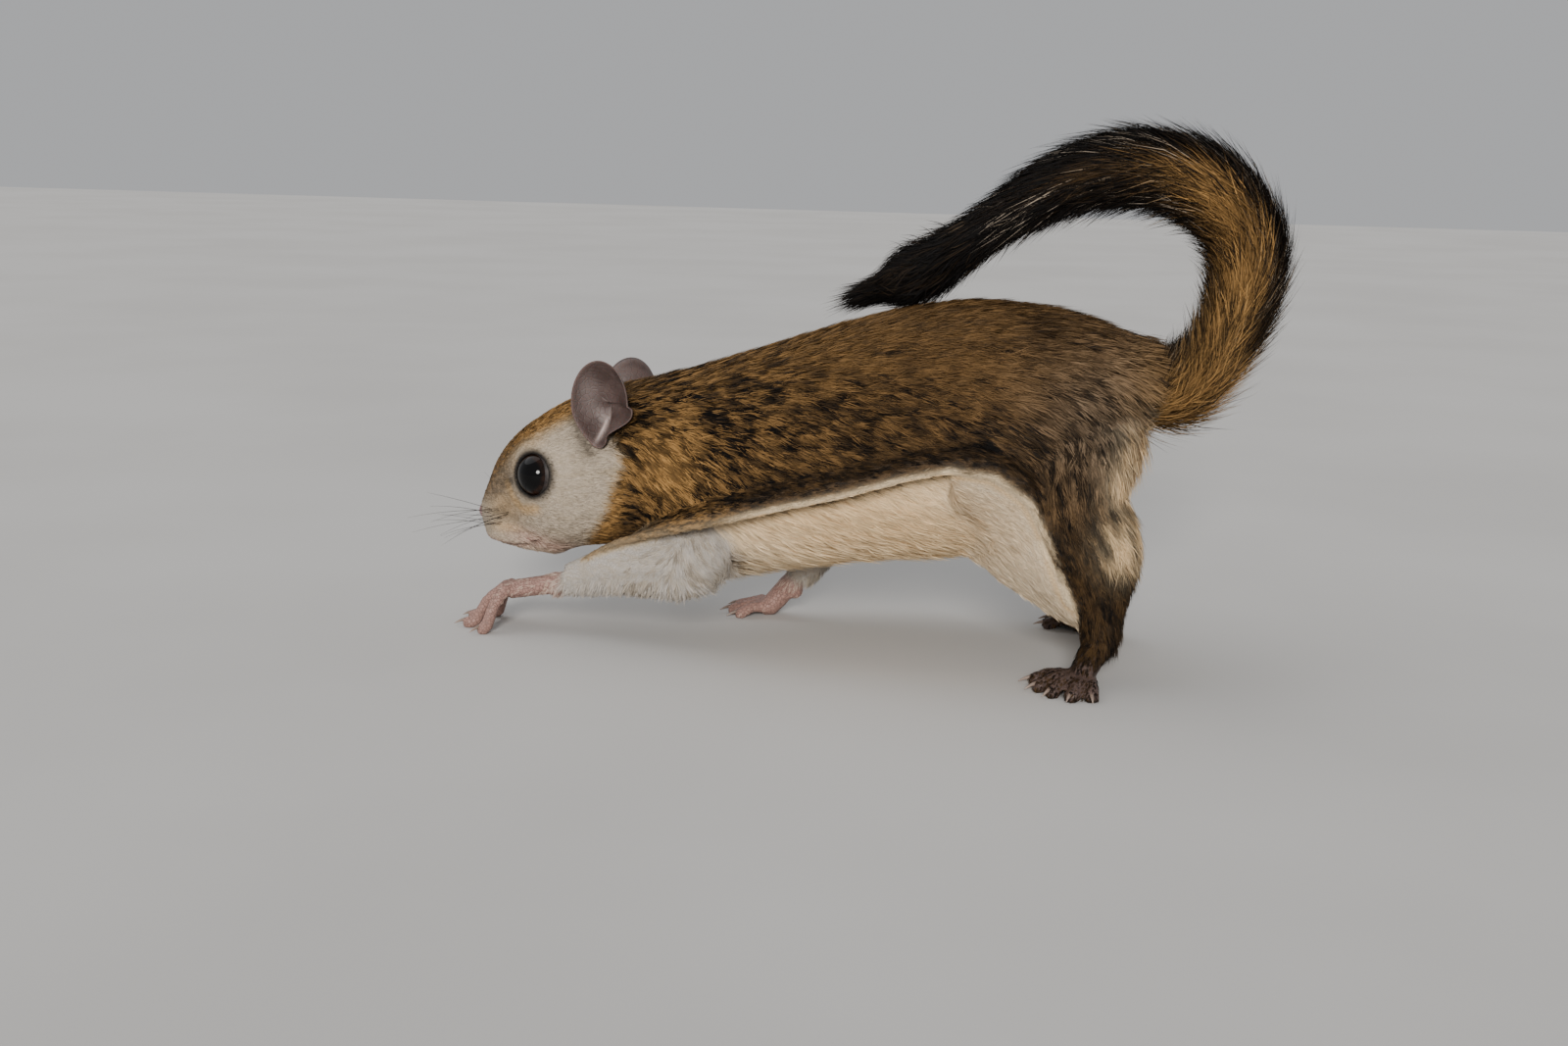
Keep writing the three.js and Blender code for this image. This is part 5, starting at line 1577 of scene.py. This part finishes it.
def tube(path, radii, sides):
    """A tapered tube along a path, closed at both ends."""
    along = unit(np.gradient(path, axis=0))
    level = unit(np.cross(along, (0.13, 0.21, 0.97)))
    upright = np.cross(along, level)
    turn = np.linspace(0, 2 * math.pi, sides, endpoint=False)
    ring = level[:, None] * np.cos(turn)[None, :, None] + upright[:, None] * np.sin(turn)[None, :, None]
    points = (path[:, None] + ring * radii[:, None, None]).reshape(-1, 3)
    return closed_grid(len(path), points, path[0], path[-1])


def joined(bodies):
    """Several bodies of points and faces as one."""
    points, faces, start = [], [], 0
    for own_points, own_faces in bodies:
        points.append(own_points)
        faces.extend(part + start for part in own_faces)
        start += len(own_points)
    return np.vstack(points), faces


def solid_corners(node):
    return np.array([(np.array(v.co) - SHIFT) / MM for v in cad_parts[node].data.vertices])


def claw_body(node, foot):
    """A hooked claw to the tip of its solid, rooted well inside the toe."""
    corners = solid_corners(node)
    apart = np.linalg.norm(corners[:, None] - foot[None], axis=2).min(1)
    root = corners[apart <= np.quantile(apart, 0.3)].mean(0)
    tip = corners[np.argmax(np.linalg.norm(corners - root, axis=1))] - (0, 0, CLAW_HOOK)
    root = root + unit((root - tip) * (1, 1, 0)) * CLAW_ROOT - (0, 0, 0.3)
    s = np.linspace(0, 1, CLAW_RINGS)[:, None]
    path = root + (tip - root) * s + np.array((0, 0, CLAW_HOOK)) * np.sin(math.pi * s)
    return tube(path, mixed(CLAW_GIRTH, CLAW_TIP_GIRTH, s[:, 0] ** 1.8), CLAW_SIDES)


def make_claws(kind, name, material):
    count = CLAWS[kind]
    nodes = [f"claw_{kind}_{name}_{number + 1}" for number in range(count)]
    foot = solid_corners(f"{kind}foot_{name}")
    bodies = joined([claw_body(node, foot) for node in nodes])
    piece = build(f"claws_{kind}_{name}", *bodies, material, "claw")
    tip = np.append(np.repeat(np.linspace(0, 1, CLAW_RINGS), CLAW_SIDES), (0, 1))
    add_field(piece, "claw", np.tile(tip, count)[:, None])
    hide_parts(*nodes)


def whisker(root, side, random):
    """A stiff hair that leaves the pad forward and out, and sags back."""
    length = random.uniform(16, 29)
    way = unit(np.array((-0.62 + random.normal(0, 0.12), side * 0.8, 0.12 + random.normal(0, 0.16))))
    sag = np.array((0.5, 0.0, -0.35)) * random.uniform(0.12, 0.3)
    s = np.linspace(0, 1, WHISKER_RINGS)[:, None]
    path = root - way * 0.4 + way * length * s + sag * length * s**2
    return tube(path, mixed(WHISKER_GIRTH, WHISKER_TIP_GIRTH, s[:, 0]), WHISKER_SIDES)


def make_whiskers(skin, material):
    random = rng_for("whiskers")
    tree = BVHTree.FromPolygons([Vector(point) for point in skin["points"]], skin["quads"].tolist())
    bodies = []
    for _, side in SIDES:
        for x, z in np.repeat(WHISKER_ROOTS, WHISKERS_A_ROOT, axis=0):
            aim = Vector((x + random.normal(0, 0.4), side * 30, z + random.normal(0, 0.4)))
            root = tree.ray_cast(aim, Vector((0, -side, 0)))[0]
            if root is not None:
                bodies.append(whisker(np.array(root), side, random))
    build("whiskers", *joined(bodies), material, "claw")


# Skin and coat
def unwrap(piece):
    """An unwrap of the skin's own shape, for the bake."""
    piece.data.uv_layers.new(name="OFBake")
    bpy.context.view_layer.objects.active = piece
    bpy.ops.object.select_all(action="DESELECT")
    piece.select_set(True)
    bpy.ops.object.mode_set(mode="EDIT")
    bpy.ops.mesh.select_all(action="SELECT")
    bpy.ops.uv.smart_project(angle_limit=math.radians(70), island_margin=0.002)
    bpy.ops.object.mode_set(mode="OBJECT")
    places = np.empty(len(piece.data.loops) * 2)
    piece.data.uv_layers["OFBake"].uv.foreach_get("vector", places)
    return places.reshape(-1, 2)


def dress_skin(skin, material):
    """The skin as one piece in place of the flesh. Hands and lips are pinker than the hind feet."""
    piece = build("skin", skin["points"], [skin["quads"]], material, "back_coat")
    skin["bake"] = unwrap(piece)
    skin["corners"] = np.arange(len(skin["quads"]) * 4).reshape(-1, 4)
    pink = np.where(np.isin(skin["part"], ("forefoot", "head")), 0.72, 0.1)
    add_field(piece, "marks", skin["masks"][:, :4])
    add_field(piece, "skin", np.stack([skin["masks"][:, 4], pink], -1))
    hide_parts(*FLESH, *TAIL_NODES)


def make_coat(skin):
    for name, (parts, hairs, slot) in COAT_PIECES.items():
        body_coat(name, skin, parts, hairs, slot)
    tail_coat(skin)


# Studio and camera
FLOOR_REACH = 3000.0
SKY = (0.82, 0.83, 0.85, 1)
SKY_STRENGTH = 0.55
LIGHT_AIM = (0, 0, 0.05)
CAMERA = dict(place=(90.0, -412.44, 117.57), azimuth=12.0, pitch=12.0, roll=1.249, focal=1800.0)
PHOTO_WIDTH = 1600
SENSOR_WIDTH = 36.0


def sun_light(name, place, spread, strength, colour):
    """A wide soft light from far away, which falls evenly on the floor."""
    data = bpy.data.lights.new(name, "SUN")
    data.angle = math.radians(spread)
    data.energy = strength
    data.color = colour
    light = bpy.data.objects.new(name, data)
    light.location = place
    light.rotation_euler = (Vector(LIGHT_AIM) - Vector(place)).to_track_quat("-Z", "Y").to_euler()
    bpy.context.scene.collection.objects.link(light)


def make_studio(material):
    ends = np.array(((-1, -1, 0), (1, -1, 0), (1, 1, 0), (-1, 1, 0))) * FLOOR_REACH
    floor = build("floor", ends - SHIFT / MM, [np.array(((0, 1, 2, 3),))], material)
    world = bpy.data.worlds.new("studio")
    world.use_nodes = True
    background = world.node_tree.nodes["Background"]
    background.inputs["Color"].default_value = SKY
    background.inputs["Strength"].default_value = SKY_STRENGTH
    bpy.context.scene.world = world
    sun_light("key", (0.12, -0.9, 0.4), 16, 3.3, (1.0, 0.965, 0.92))
    sun_light("top", (-0.5, 0.2, 0.9), 60, 0.9, (0.97, 0.98, 1.0))


def make_camera():
    azimuth, pitch, roll = (math.radians(CAMERA[key]) for key in ("azimuth", "pitch", "roll"))
    level = math.cos(pitch)
    ahead = Vector((-math.sin(azimuth) * level, math.cos(azimuth) * level, -math.sin(pitch)))
    right = Vector((math.cos(azimuth), math.sin(azimuth), 0))
    up = right.cross(ahead)
    turned_right = right * math.cos(roll) + up * math.sin(roll)
    turned_up = up * math.cos(roll) - right * math.sin(roll)
    data = bpy.data.cameras.new("camera")
    data.sensor_width = SENSOR_WIDTH
    data.lens = CAMERA["focal"] / PHOTO_WIDTH * SENSOR_WIDTH
    camera = bpy.data.objects.new("camera", data)
    axes = Matrix((turned_right, turned_up, -ahead)).transposed()
    camera.matrix_world = Matrix.Translation(Vector(np.array(CAMERA["place"]) * MM + SHIFT)) @ axes.to_4x4()
    bpy.context.scene.collection.objects.link(camera)
    bpy.context.scene.camera = camera


make_camera()
make_studio(mottled_material("pale floor", 0.85, 0.2, 6, 4.0, ("floor_dark", "floor_light")))
squirrel = make_skin()
dress_skin(squirrel, skin_material())
make_coat(squirrel)
for side_name, side_sign in SIDES:
    make_eye(side_name, side_sign, eye_material())
    make_lid(side_name, side_sign, lid_material())
    make_ear(side_name, side_sign, ear_material())
    make_claws("fore", side_name, claw_material())
    make_claws("hind", side_name, claw_material())
make_nose(nose_material())
make_whiskers(squirrel, mottled_material("whisker", 0.4, 0.4, 60, 2.0, ("whisker_dark", "whisker_light")))
